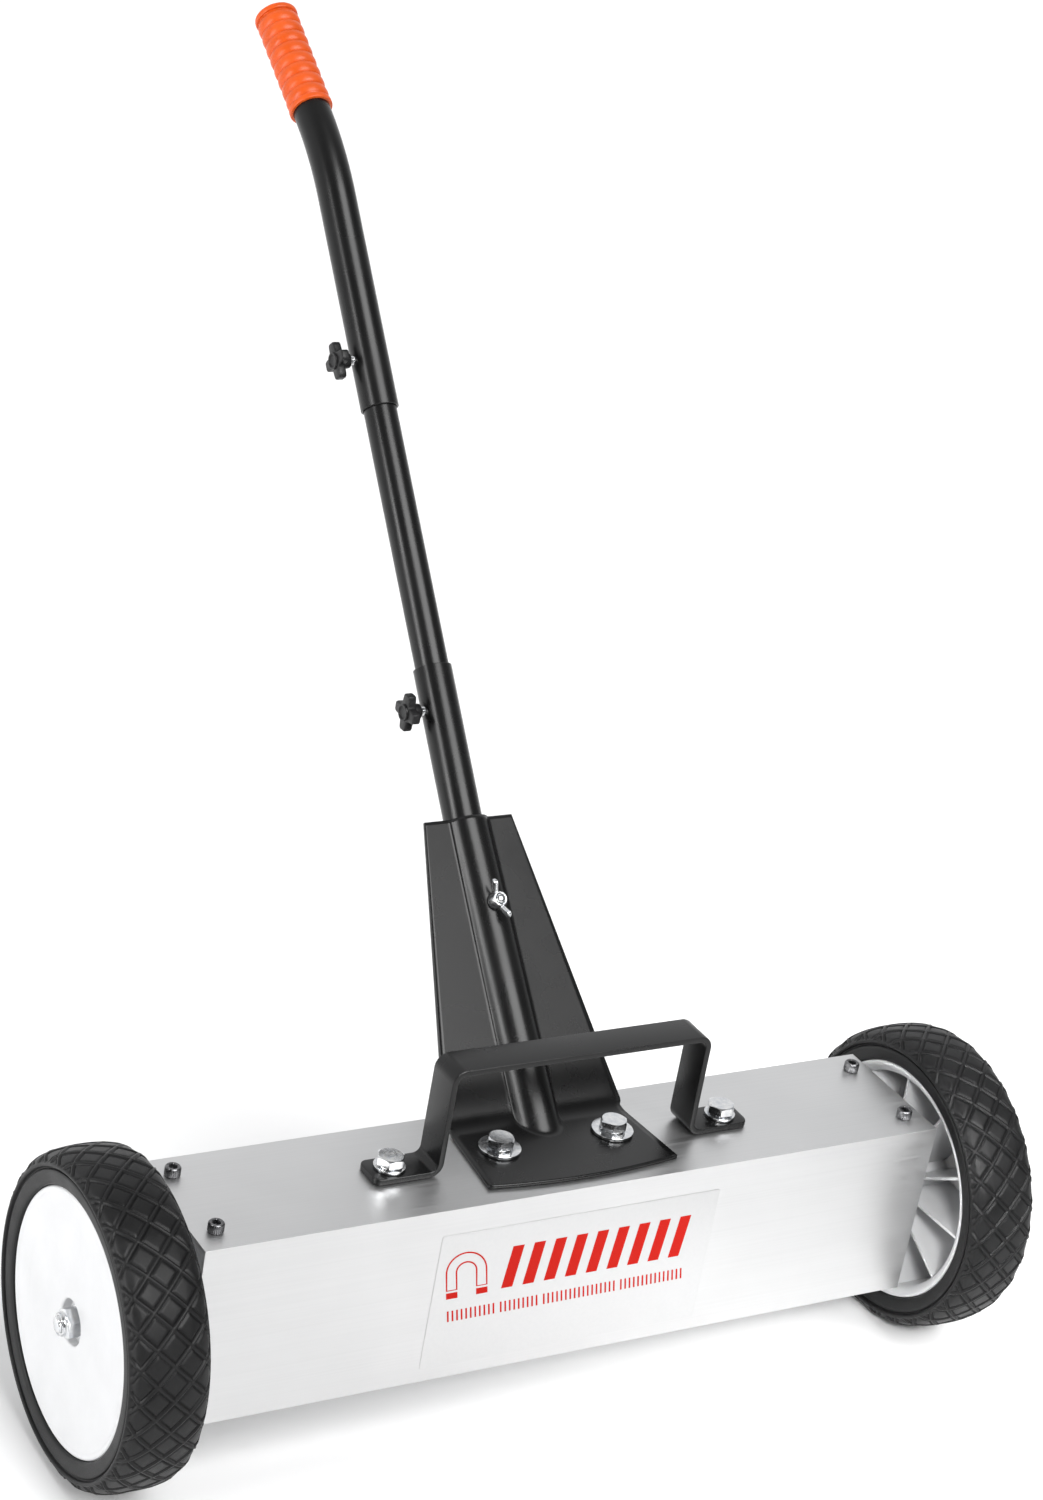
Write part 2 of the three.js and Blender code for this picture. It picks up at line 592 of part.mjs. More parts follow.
function clampKnob(turn) {
  const arms = plate(knobOutline(), KNOB.armEnd - KNOB.armStart).rotateZ(turn).translate(0, 0, KNOB.armStart);
  const hub = rod(KNOB.hubRadius, KNOB.end - KNOB.start).translate(0, 0, KNOB.start);
  const bore = drill(M6.radius + GAP, KNOB.boreDepth).translate(0, 0, KNOB.start);
  return cut(joined(arms, hub), bore);
}

function clampStud() {
  const start = MIDDLE_RADIUS + GAP;
  return rod(M6.radius, KNOB.start + KNOB.boreDepth - GAP - start, SMALL_SIDES).translate(0, 0, start);
}

for (const [tube, station] of Object.entries(KNOB_STATIONS)) {
  for (const [name, geometry, material] of [
    [`clamp_knob_${tube}`, clampKnob(KNOB_TURNS[tube]), blackPlastic],
    [`clamp_stud_${tube}`, clampStud(), zincPlate],
  ]) {
    const mesh = piece(name, geometry, material, pole);
    mesh.rotation.y = -Math.PI / 2;
    mesh.position.z = station;
  }
}

// The wing nut stands on the XY plane: a tapered hub with two wings that rise outward to round lugs.
function wingNut() {
  const { hubRadius, hubTop, height, foot, waist, thickness } = WING_NUT;
  const hub = turned([[0, 0], [hubRadius, 0], [hubRadius, WASHER], [hubTop, height], [0, height]]);
  const outline = new THREE.Shape();
  outline.moveTo(hubTop, foot);
  outline.lineTo(hubRadius, foot);
  outline.absarc(WING_LUG.x, WING_LUG.z, WING_LUG.radius, -Math.PI / 3, Math.PI * 0.8, false);
  outline.lineTo(hubTop, waist);
  const right = plate(outline, thickness, BEND_SEGMENTS).rotateX(Math.PI / 2).translate(0, thickness / 2, 0);
  const left = right.clone().rotateZ(Math.PI);
  return cut(joined(hub, right, left), drill(M6.radius + GAP, height + OVERLAP));
}

const pinHeadSeat = POLE_RADIUS + GAP;
const pinLength = pinHeadSeat + PIN_CREST + WING_NUT.height + THREAD_SHOWING;
const pinBolt = piece('wing_bolt', hexBolt(M6, pinLength), zincPlate, pole);
pinBolt.rotation.x = -Math.PI / 2;
pinBolt.position.set(0, pinHeadSeat, PIN_STATION);

const pinNut = piece('wing_nut', wingNut(), zincPlate, pole);
pinNut.rotation.order = 'XZY';
pinNut.rotation.set(Math.PI / 2, 0, WING_NUT_TURN);
pinNut.position.set(0, -PIN_CREST, PIN_STATION);

// ---------- wheels ----------
// Built along +Z, which becomes the outboard direction; the middle of the tyre is at 0.
function tyre() {
  const half = TYRE_WIDTH / 2;
  const seat = RIM_SEAT_RADIUS + GAP;
  const flange = RIM_FLANGE_RADIUS + GAP;
  const flangeInner = RIM_HALF_WIDTH - RIM_FLANGE - GAP;
  const halfOutline = [
    [seat, flangeInner], [flange, flangeInner], [flange, RIM_HALF_WIDTH + GAP],
    ...TYRE_SIDE.map(([radius, inset]) => [radius, half - inset]),
  ];
  const lower = halfOutline.map(([radius, width]) => [radius, -width]);
  const upper = halfOutline.slice().reverse();
  return turned([...lower, ...upper, lower[0]], WHEEL_SIDES);
}

// A barrel with a flange at each edge, closed by a disc on the outboard side, round a solid hub.
function rimShell() {
  const bore = M10.radius + GAP;
  const inner = -RIM_HALF_WIDTH;
  const outer = RIM_HALF_WIDTH;
  const barrelInner = RIM_SEAT_RADIUS - RIM_BARREL;
  const hubTaper = 2;
  return turned([
    [bore, -HUB_INNER_END], [HUB_BOSS_RADIUS - hubTaper, -HUB_INNER_END], [HUB_BOSS_RADIUS, outer - DISC - hubTaper],
    [barrelInner, outer - DISC], [barrelInner, inner], [RIM_FLANGE_RADIUS, inner],
    [RIM_FLANGE_RADIUS, inner + RIM_FLANGE], [RIM_SEAT_RADIUS, inner + RIM_FLANGE],
    [RIM_SEAT_RADIUS, outer - RIM_FLANGE], [RIM_FLANGE_RADIUS, outer - RIM_FLANGE],
    [RIM_FLANGE_RADIUS, outer - RIM_EDGE], [RIM_FLANGE_RADIUS - RIM_EDGE, outer],
    [HUB_RECESS.radius, outer - RIM_DISH], [HUB_RECESS.radius, outer - HUB_RECESS.depth],
    [bore, outer - HUB_RECESS.depth], [bore, -HUB_INNER_END],
  ], WHEEL_SIDES);
}

// A thin wall from the hub to the barrel, a little lower than both.
function rimRib() {
  const start = HUB_BOSS_RADIUS - 2.5;
  const end = RIM_SEAT_RADIUS - RIM_BARREL + OVERLAP;
  const outline = new THREE.Shape();
  outline.moveTo(start, 5 - HUB_INNER_END);
  outline.lineTo(end, 4 - RIM_HALF_WIDTH);
  outline.lineTo(end, RIM_HALF_WIDTH - DISC + OVERLAP / 2);
  outline.lineTo(start + OVERLAP, RIM_HALF_WIDTH - DISC - OVERLAP);
  return plate(outline, HUB_RIB_THICKNESS).rotateX(Math.PI / 2).translate(0, HUB_RIB_THICKNESS / 2, 0);
}

function rim() {
  const ribs = [];
  for (let index = 0; index < HUB_RIBS; index += 1) {
    ribs.push(rimRib().rotateZ((2 * Math.PI * (index + HUB_RIB_PHASE)) / HUB_RIBS));
  }
  return joined(rimShell(), ...ribs);
}

for (const [side, sign] of SIDE_NAMES) {
  const wheel = new THREE.Group();
  wheel.position.set(sign * WHEEL_CENTRE_X, 0, AXLE_Z);
  wheel.rotation.y = (sign * Math.PI) / 2;
  sweeper.add(wheel);
  piece(`tyre_${side}`, tyre(), blackRubber, wheel);
  piece(`rim_${side}`, rim(), whitePlastic, wheel);

  const headZ = END_PLATE_INNER_X - GAP - WHEEL_CENTRE_X;
  const jamNutZ = END_PLATE_OUTER_X + GAP - WHEEL_CENTRE_X;
  const innerWasherZ = jamNutZ + M10.thinNut + GAP;
  const outerWasherZ = RIM_HALF_WIDTH - HUB_RECESS.depth + GAP;
  const lockNutZ = outerWasherZ + WASHER + GAP;
  const boltEnd = lockNutZ + NYLOC.hex + NYLOC.collar + THREAD_SHOWING;
  const bolt = piece(`axle_bolt_${side}`, hexBolt(M10, boltEnd - headZ), zincPlate, wheel);
  bolt.rotation.x = Math.PI;
  bolt.position.z = headZ;
  piece(`axle_jam_nut_${side}`, nut(M10, M10.thinNut), zincPlate, wheel).position.z = jamNutZ;
  for (const [place, z] of [['inner', innerWasherZ], ['outer', outerWasherZ]]) {
    piece(`axle_${place}_washer_${side}`, washer(SMALL_WASHER_RADIUS), zincPlate, wheel).position.z = z;
  }
  piece(`axle_lock_nut_${side}`, lockNut(), zincPlate, wheel).position.z = lockNutZ;
}

export default sweeper;
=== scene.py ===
"""Magnetic nail sweeper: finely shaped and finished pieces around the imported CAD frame.

Lengths are in metres, and MM turns millimetres into metres. +X is along the axle to the right wheel,
+Y is back toward the user, and +Z is up.
"""

import json
from math import cos, hypot, pi, radians, sin, sqrt, tan

import bmesh
import bpy
import numpy as np
from mathutils import Matrix, Quaternion, Vector

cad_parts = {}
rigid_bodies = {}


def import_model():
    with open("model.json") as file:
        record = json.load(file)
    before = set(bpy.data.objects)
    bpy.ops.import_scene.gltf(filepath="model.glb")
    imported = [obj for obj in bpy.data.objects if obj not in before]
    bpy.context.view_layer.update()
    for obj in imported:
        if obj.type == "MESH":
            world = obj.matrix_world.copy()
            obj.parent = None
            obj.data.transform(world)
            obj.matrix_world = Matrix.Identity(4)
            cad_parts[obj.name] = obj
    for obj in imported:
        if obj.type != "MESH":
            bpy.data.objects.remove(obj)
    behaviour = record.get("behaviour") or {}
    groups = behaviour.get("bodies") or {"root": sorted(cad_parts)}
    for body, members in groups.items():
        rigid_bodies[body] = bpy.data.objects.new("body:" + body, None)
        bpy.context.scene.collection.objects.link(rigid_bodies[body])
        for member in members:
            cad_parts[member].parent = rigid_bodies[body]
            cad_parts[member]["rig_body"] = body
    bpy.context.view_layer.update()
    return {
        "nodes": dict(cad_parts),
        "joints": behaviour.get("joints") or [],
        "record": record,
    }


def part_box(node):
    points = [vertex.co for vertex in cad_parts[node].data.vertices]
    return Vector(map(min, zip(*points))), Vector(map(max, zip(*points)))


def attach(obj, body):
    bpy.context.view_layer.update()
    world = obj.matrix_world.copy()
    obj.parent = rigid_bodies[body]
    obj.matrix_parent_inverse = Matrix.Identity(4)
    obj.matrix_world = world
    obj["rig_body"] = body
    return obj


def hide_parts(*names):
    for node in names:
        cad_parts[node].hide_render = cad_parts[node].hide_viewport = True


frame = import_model()

MM = 0.001
X = Vector((1, 0, 0))
Z = Vector((0, 0, 1))
SIDES = {"left": -1, "right": 1}
JOINTS = {joint["name"]: joint for joint in frame["joints"]}
SLOT_OF = {row["node"]: row["material_slot"] for row in frame["record"]["subparts"]}
AXLE_Y = JOINTS["wheel_left_spin"]["pos_m"][1]
POLE_UP = Vector(JOINTS["pole_middle_slide"]["axis"]).normalized()
POLE_AHEAD = Vector(JOINTS["wing_nut_turn"]["axis"]).normalized()

# ---------- finishes ----------
# A Mix node has several sockets of the same name, so its colours go by number.
MIX_FIRST = 6
MIX_SECOND = 7
MIX_RESULT = 2


class Finish:
    """A Principled material being put together, with short calls for the nodes that it uses."""

    def __init__(self, name, **sockets):
        self.material = bpy.data.materials.new(name)
        self.material.use_nodes = True
        self.tree = self.material.node_tree
        self.shader = self.tree.nodes["Principled BSDF"]
        for socket, value in sockets.items():
            self.shader.inputs[socket.replace("_", " ")].default_value = value
        self.place = self.add("ShaderNodeTexCoord").outputs["Object"]

    def add(self, kind, settings=None, **inputs):
        node = self.tree.nodes.new(kind)
        for name, value in (settings or {}).items():
            setattr(node, name, value)
        for name, value in inputs.items():
            self.feed(node.inputs[name.replace("_", " ")], value)
        return node

    def feed(self, socket, value):
        if isinstance(value, bpy.types.NodeSocket):
            self.tree.links.new(value, socket)
        else:
            socket.default_value = value

    def stretched(self, scale):
        """The place on the object, scaled along each axis, so that a pattern can be stretched."""
        return self.add("ShaderNodeMapping", Vector=self.place, Scale=scale).outputs["Vector"]

    def noise(self, scale, detail=3, place=None):
        node = self.add("ShaderNodeTexNoise", Vector=place or self.place, Scale=scale, Detail=detail)
        return node.outputs["Fac"]

    def cells(self, scale):
        return self.add("ShaderNodeTexVoronoi", Vector=self.place, Scale=scale)

    def spread(self, source, low, high, start=0.3, end=0.7):
        """source between start and end, turned into a number between low and high."""
        limits = {"From_Min": start, "From_Max": end, "To_Min": low, "To_Max": high}
        return self.add("ShaderNodeMapRange", Value=source, **limits).outputs["Result"]

    def tint(self, factor, first, second):
        """The base colour, between two colours."""
        node = self.add("ShaderNodeMix", {"data_type": "RGBA"})
        self.feed(node.inputs["Factor"], factor)
        node.inputs[MIX_FIRST].default_value = (*first, 1)
        node.inputs[MIX_SECOND].default_value = (*second, 1)
        self.feed(self.shader.inputs["Base Color"], node.outputs[MIX_RESULT])

    def rough(self, source, low, high):
        self.feed(self.shader.inputs["Roughness"], self.spread(source, low, high))

    def bumps(self, *layers):
        """Surface relief from (height, depth in metres) layers."""
        normal = None
        for height, depth in layers:
            node = self.add("ShaderNodeBump", Height=height, Distance=depth, Strength=1.0)
            if normal:
                self.feed(node.inputs["Normal"], normal)
            normal = node.outputs["Normal"]
        self.feed(self.shader.inputs["Normal"], normal)


def satin_aluminium():
    """Extruded box, brushed along its length, with a faint cloudiness."""
    finish = Finish("satin_aluminium", Metallic=1.0)
    brushed = finish.noise(1.0, 5, finish.stretched((6, 900, 900)))
    clouds = finish.noise(9, 3)
    finish.tint(finish.spread(clouds, 0, 1), (0.645, 0.647, 0.649), (0.695, 0.696, 0.697))
    finish.rough(brushed, 0.34, 0.50)
    finish.bumps((brushed, 0.00002), (clouds, 0.0004))
    return finish.material


def galvanised_steel():
    """Dull zinc with its crystals just showing."""
    finish = Finish("galvanised_steel", Metallic=0.55)
    spangle = finish.cells(140).outputs["Color"]
    finish.tint(finish.spread(spangle, 0, 1, 0.1, 0.9), (0.66, 0.67, 0.68), (0.80, 0.805, 0.81))
    finish.rough(finish.noise(60), 0.34, 0.52)
    finish.bumps((finish.noise(500), 0.00003))
    return finish.material


def zinc_plated_steel():
    """Bright plating, a little blue in places."""
    finish = Finish("zinc_plated_steel", Metallic=1.0)
    wear = finish.noise(260, 4)
    finish.tint(finish.spread(wear, 0, 1), (0.62, 0.64, 0.67), (0.80, 0.80, 0.79))
    finish.rough(finish.noise(700, 2), 0.12, 0.24)
    finish.bumps((wear, 0.00004))
    return finish.material


def blackened_steel():
    """Dark oiled screws that still shine."""
    finish = Finish("blackened_steel", Metallic=1.0)
    oil = finish.noise(420, 3)
    finish.tint(finish.spread(oil, 0, 1), (0.10, 0.10, 0.105), (0.22, 0.22, 0.225))
    finish.rough(oil, 0.22, 0.38)
    finish.bumps((finish.noise(900, 2), 0.00002))
    return finish.material


def black_painted_steel():
    """Satin powder coat: a slight orange peel, and faint dull patches where it has been handled."""
    finish = Finish("black_painted_steel", Specular_IOR_Level=0.35)
    handled = finish.noise(26, 4)
    peel = finish.noise(700, 1)
    finish.tint(finish.spread(handled, 0, 1), (0.0035, 0.0035, 0.0036), (0.0055, 0.0055, 0.0056))
    finish.rough(handled, 0.24, 0.31)
    finish.bumps((peel, 0.000005))
    return finish.material


def black_plastic():
    """Moulded knobs with a fine grain."""
    finish = Finish("black_plastic", Specular_IOR_Level=0.3)
    grain = finish.cells(2600).outputs["Distance"]
    finish.tint(finish.noise(120), (0.007, 0.007, 0.0075), (0.012, 0.012, 0.0125))
    finish.rough(finish.noise(300), 0.28, 0.40)
    finish.bumps((grain, 0.00006))
    return finish.material


def white_plastic():
    """Injection-moulded rim, a little glossy, with slight sinks in its faces."""
    glow = {"Subsurface_Weight": 0.5, "Subsurface_Scale": 0.004, "Subsurface_Radius": (1.0, 0.97, 0.93)}
    finish = Finish("white_plastic", **glow)
    flow = finish.noise(34, 3)
    finish.tint(finish.spread(flow, 0, 1), (0.58, 0.583, 0.59), (0.63, 0.633, 0.64))
    finish.rough(flow, 0.28, 0.40)
    finish.bumps((flow, 0.0005), (finish.noise(900, 2), 0.00001))
    return finish.material


def black_rubber():
    """Moulded rubber: fine grain, and a dry grey bloom in patches."""
    finish = Finish("black_rubber", Specular_IOR_Level=0.28)
    bloom = finish.noise(48, 5)
    grain = finish.noise(2200, 3)
    finish.tint(finish.spread(bloom, 0, 1, 0.35, 0.75), (0.004, 0.004, 0.0042), (0.009, 0.009, 0.0094))
    finish.rough(bloom, 0.38, 0.52)
    finish.bumps((grain, 0.00008))
    return finish.material


def orange_vinyl():
    """The grip's soft dipped vinyl, faintly mottled."""
    glow = {"Subsurface_Weight": 0.05, "Subsurface_Scale": 0.001, "Subsurface_Radius": (1.0, 0.3, 0.1)}
    finish = Finish("orange_vinyl", Specular_IOR_Level=0.35, **glow)
    mottle = finish.noise(80, 3)
    finish.tint(finish.spread(mottle, 0, 1), (0.58, 0.076, 0.006), (0.66, 0.090, 0.009))
    finish.rough(mottle, 0.30, 0.42)
    finish.bumps((finish.noise(1500, 3), 0.00006))
    return finish.material


def ferrite_magnet():
    """Sintered ferrite: dark, gritty and dull."""
    finish = Finish("ferrite_magnet")
    grit = finish.noise(900, 5)
    finish.tint(finish.spread(grit, 0, 1), (0.030, 0.030, 0.033), (0.075, 0.073, 0.072))
    finish.rough(grit, 0.60, 0.85)
    finish.bumps((grit, 0.0001))
    return finish.material


def white_film():
    """The label's film: nearly the box's own colour, smoother and coated."""
    finish = Finish("white_film", Metallic=1.0, Coat_Weight=0.3, Coat_Roughness=0.3)
    fibres = finish.noise(420, 4)
    finish.tint(finish.spread(fibres, 0, 1), (0.655, 0.658, 0.66), (0.685, 0.686, 0.687))
    finish.rough(fibres, 0.40, 0.48)
    finish.bumps((fibres, 0.00002))
    return finish.material


def red_ink():
    """Printing on the film, a little uneven in its cover."""
    finish = Finish("red_ink", Specular_IOR_Level=0.1)
    coverage = finish.noise(1400, 3)
    finish.tint(finish.spread(coverage, 0, 1), (0.41, 0.005, 0.001), (0.47, 0.008, 0.002))
    finish.rough(coverage, 0.38, 0.5)
    return finish.material


def pale_floor():
    """Matt, almost white, and very slightly uneven."""
    finish = Finish("pale_floor", Roughness=0.9, Specular_IOR_Level=0.1)
    finish.tint(finish.noise(0.8, 2), (0.90, 0.90, 0.90), (0.92, 0.92, 0.92))
    return finish.material


FINISHES = {
    make.__name__: make()
    for make in (
        satin_aluminium, galvanised_steel, zinc_plated_steel, blackened_steel, black_painted_steel,
        black_plastic, white_plastic, black_rubber, orange_vinyl, ferrite_magnet, white_film,
    )
}

# ---------- shapes: each is (vertices, faces) ----------


def skin(rows, around=True, loop=False, capped=False):
    """Faces over rows of points. around joins each row's ends, loop joins the last row to the first."""
    count = len(rows[0])
    vertices = [tuple(point) for row in rows for point in row]
    faces = []
    for i in range(len(rows) if loop else len(rows) - 1):
        here = i * count
        there = (i + 1) % len(rows) * count
        for j in range(count if around else count - 1):
            k = (j + 1) % count
            faces.append((here + j, here + k, there + k, there + j))
    if capped:
        faces.append(tuple(reversed(range(count))))
        faces.append(tuple(range(len(vertices) - count, len(vertices))))
    return vertices, faces


def together(*shapes):
    """Several shapes as one."""
    vertices, faces = [], []
    for points, corners in shapes:
        faces += [tuple(corner + len(vertices) for corner in face) for face in corners]
        vertices += points
    return vertices, faces


def rectangle(left, bottom, right, top):
    return [(left, bottom), (right, bottom), (right, top), (left, top)]


def round_angles(count):
    """Evenly spaced angles round a circle."""
    return [2 * pi * step / count for step in range(count)]


def moved(shape, matrix):
    """A shape turned or shifted by a matrix."""
    vertices, faces = shape
    return [tuple(matrix @ Vector(vertex)) for vertex in vertices], faces


def soften(points, radius, steps=3, closed=True):
    """The same outline with each corner rounded off, by less where a side is short."""
    most = 0.45
    points = [Vector(point) for point in points]
    count = len(points)
    outline = []
    for index, corner in enumerate(points):
        if not closed and index in (0, count - 1):
            outline.append(tuple(corner))
            continue
        before = points[index - 1] - corner
        after = points[(index + 1) % count] - corner
        start = corner + before.normalized() * min(radius, before.length * most)
        end = corner + after.normalized() * min(radius, after.length * most)
        for step in range(steps + 1):
            t = step / steps
            outline.append(tuple(start * (1 - t) ** 2 + corner * 2 * t * (1 - t) + end * t ** 2))
    return outline


def turned(profile, segments=64):
    """[radius, height] points turned round +Z. Either may be a function of the angle.
    A profile that starts on the axis makes a solid, and any other closes on itself as a ring."""
    angles = round_angles(segments)

    def at(value, angle):
        return value(angle) if callable(value) else value

    rows = [
        [(at(r, a) * cos(a), at(r, a) * sin(a), at(h, a)) for a in angles]
        for r, h in profile
    ]
    return skin(rows, loop=profile[0][0] != 0)


def ring(inner, outer, bottom, top, edge, segments=64):
    """A plain ring or tube round +Z, with its edges rounded by edge."""
    return turned(soften(rectangle(inner, bottom, outer, top), edge), segments)


def prism(outline, bottom, top, edge):
    """A flat outline in XY given a thickness, with its rims rounded by edge."""
    points = [Vector((*point, 0)) for point in outline]
    count = len(points)
    inward = []
    for index in range(count):
        tangent = (points[(index + 1) % count] - points[index - 1]).normalized()
        inward.append(Vector((-tangent.y, tangent.x, 0)))
    rows = []
    last = 3
    for height, side in ((bottom, 1), (top, -1)):
        for step in range(last + 1) if side > 0 else range(last, -1, -1):
            angle = pi / 2 * step / last
            inset = edge * (1 - sin(angle))
            rise = height + side * edge * (1 - cos(angle))
            rows.append([point + n * inset + Z * rise for point, n in zip(points, inward)])
    return skin(rows, capped=True)


# ---------- where the CAD pieces are ----------


def reach(node, direction):
    """How far a CAD node reaches along a direction: its lowest and its highest place."""
    places = [vertex.co.dot(direction) for vertex in frame["nodes"][node].data.vertices]
    return min(places), max(places)


def reach_from(node, direction, origin):
    """The same, measured from an origin."""
    low, high = reach(node, direction)
    return low - origin.dot(direction), high - origin.dot(direction)


def middle(node):
    low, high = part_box(node)
    return (low + high) / 2


def standing(origin, direction):
    """A place whose +Z points along direction."""
    return Matrix.Translation(origin) @ Z.rotation_difference(direction).to_matrix().to_4x4()


def at_foot_of(node, direction, on_axis=None):
    """The place at the low end of a round or hexagonal CAD node, with +Z along its axis, and its length."""
    low, high = reach(node, direction)
    centre = on_axis or middle(node)
    return standing(centre + direction * (low - centre.dot(direction)), direction), high - low


def piece(name, shape, *nodes, place=None, finish=None, slot=None, smooth=32):
    """A visible piece that stands for CAD nodes, rides on their body and takes their finish.
    One with a finish of its own is an extra, and takes no node's place."""
    vertices, faces = shape
    mesh = bpy.data.meshes.new(name)
    mesh.from_pydata(vertices, [], faces)
    if place:
        mesh.transform(place)
    same_place = 1e-7
    joined = bmesh.new()
    joined.from_mesh(mesh)
    bmesh.ops.remove_doubles(joined, verts=joined.verts, dist=same_place)
    bmesh.ops.recalc_face_normals(joined, faces=joined.faces)
    joined.to_mesh(mesh)
    joined.free()
    mesh.shade_smooth()
    mesh.set_sharp_from_angle(angle=radians(smooth))
    made = bpy.data.objects.new(name, mesh)
    bpy.context.scene.collection.objects.link(made)
    slot = slot or SLOT_OF[nodes[0]]
    mesh.materials.append(finish or FINISHES[slot])
    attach(made, frame["nodes"][nodes[0]]["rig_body"])
    if not finish:
        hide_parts(*nodes)
    return made


# ---------- fasteners ----------
M10 = {"radius": 5 * MM, "head": 6.4 * MM, "flats": 16 * MM, "pitch": 1.5 * MM}
M6 = {"radius": 3 * MM, "head": 4 * MM, "flats": 10 * MM, "pitch": MM}
HEX_SEGMENTS = 60
NUT_CLEARANCE = 0.2 * MM
HOLE_CLEARANCE = 0.3 * MM
# Shares of a hexagon: what is left of its corners, and two round faces against its width across flats.
BLUNT_CORNERS = 0.985
END_FACE = 0.96
WASHER_FACE = 0.93


def hexagon(flats):
    """The radius of a hexagon at each angle, with its corners taken off a little."""
    blunt = flats / sqrt(3) * BLUNT_CORNERS

    def radius(angle):
        return min(blunt, flats / 2 / cos(angle % (pi / 3) - pi / 6))

    return radius


def hex_rows(flats, bottom, top):
    """The outside of a hexagon from bottom to top, each end turned down to a round face."""
    side = hexagon(flats)
    face = flats / 2 * END_FACE
    slope = tan(radians(30))

    def lower(angle):
        return bottom + (side(angle) - face) * slope

    def upper(angle):
        return top - (side(angle) - face) * slope

    return [(face, bottom), (side, lower), (side, upper), (face, top)]


def thread_rows(radius, bottom, top, pitch):
    """A screw thread as rows of a turned shape."""
    depth, to_a_turn = pitch * 0.55, 4
    rows = []
    for step in range(int((top - bottom) / pitch * to_a_turn) + 1):
        height = bottom + step * pitch / to_a_turn

        def crest(angle, height=height):
            turn = (height / pitch - angle / (2 * pi)) % 1
            return radius - depth * abs(2 * turn - 1)

        rows.append((crest, height))
    return rows


def hex_bolt(name, node, direction, size, threaded, on_axis=None):
    """A bolt with its head at the high end along direction, and the last stretch of its shank threaded."""
    place, length = at_foot_of(node, direction, on_axis)
    seat = length - size["head"]
    radius = size["radius"]
    face = size["flats"] / 2 * WASHER_FACE
    above_face = seat + 0.4 * MM
    tip = radius * 0.8
    profile = [(0, 0), (radius * 0.5, 0.15 * MM), (tip, 0.5 * MM)]
    profile += thread_rows(radius, MM, threaded, size["pitch"])
    profile += [(radius, threaded + 0.8 * MM), (radius, seat), (face, seat), (face, above_face)]
    profile += hex_rows(size["flats"], above_face, length)
    profile += [(size["flats"] * 0.30, length - 0.15 * MM), (0, length - 0.2 * MM)]
    piece(name, turned(profile, HEX_SEGMENTS), node, place=place)


def nut(name, node, direction):
    """A hexagon nut whose bore opens out at both ends."""
    place, length = at_foot_of(node, direction)
    bore = M10["radius"] + NUT_CLEARANCE
    mouth = bore + 0.6 * MM
    outside = hex_rows(M10["flats"], 0, length)
    profile = [(bore, 0.5 * MM), (mouth, 0), *outside, (mouth, length), (bore, length - 0.5 * MM)]
    piece(name, turned(profile, HEX_SEGMENTS), node, place=place)


def washer(name, node, direction):
    place, thickness = at_foot_of(node, direction)
    low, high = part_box(node)
    radius = max(high - low) / 2
    shape = ring(M10["radius"] + HOLE_CLEARANCE, radius, 0, thickness, 0.35 * MM)
    piece(name, shape, node, place=place)


def lock_nut(side, direction):
    """A nut with a nylon ring in its rounded collar."""
    node = f"axle_lock_nut_{side}"
    place, length = at_foot_of(node, direction)
    flats, hex_height, collar, nylon_width = 17 * MM, 8 * MM, 7.2 * MM, 1.3 * MM
    bore = M10["radius"] + NUT_CLEARANCE
    seat = bore + nylon_width
    profile = [(bore, 0.5 * MM), (bore + 0.6 * MM, 0), *hex_rows(flats, 0, hex_height)]
    profile += [(collar + 0.4 * MM, hex_height + 0.1 * MM), (collar, hex_height + 0.6 * MM)]
    profile += [(collar, length - MM), (collar - 0.4 * MM, length - 0.3 * MM)]
    profile += [(seat + 0.5 * MM, length), (seat, length - 0.4 * MM)]
    profile += [(seat, hex_height), (bore, hex_height - 0.2 * MM)]
    piece(f"lock_nut_{side}", turned(profile, HEX_SEGMENTS), node, place=place)
    insert = ring(bore, seat - 0.05 * MM, hex_height + 0.1 * MM, length - 0.5 * MM, 0.3 * MM)
    own = {"finish": FINISHES["white_plastic"], "slot": "white_plastic"}
    piece(f"lock_nut_nylon_{side}", insert, node, place=place, **own)


def socket_screw(place_name):
    """A cap screw with a knurled head and a hexagon socket."""
    node = f"corner_screw_{place_name}"
    place, length = at_foot_of(node, Z)
    radius, head, socket_flats, socket_depth = 5 * MM, 6 * MM, 5 * MM, 3 * MM
    knurls, knurl_depth = 30, 0.09 * MM
    seat = length - head
    socket = hexagon(socket_flats)
    socket_floor = length - socket_depth

    def knurled(angle):
        return radius - knurl_depth * (1 - cos(knurls * angle))

    profile = [(0, 0), (M6["radius"] * 0.8, 0), (M6["radius"], 0.6 * MM), (M6["radius"], seat)]
    profile += [(radius - 0.5 * MM, seat), (knurled, seat + 0.5 * MM), (knurled, length - 0.9 * MM)]
    profile += [(radius - 0.35 * MM, length - 0.45 * MM), (radius - 0.8 * MM, length)]
    profile += [(3.1 * MM, length), (socket, length - 0.35 * MM), (socket, socket_floor)]
    profile += [(0, socket_floor - 0.6 * MM)]
    piece(f"cap_screw_{place_name}", turned(profile, 4 * knurls), node, place=place, smooth=40)


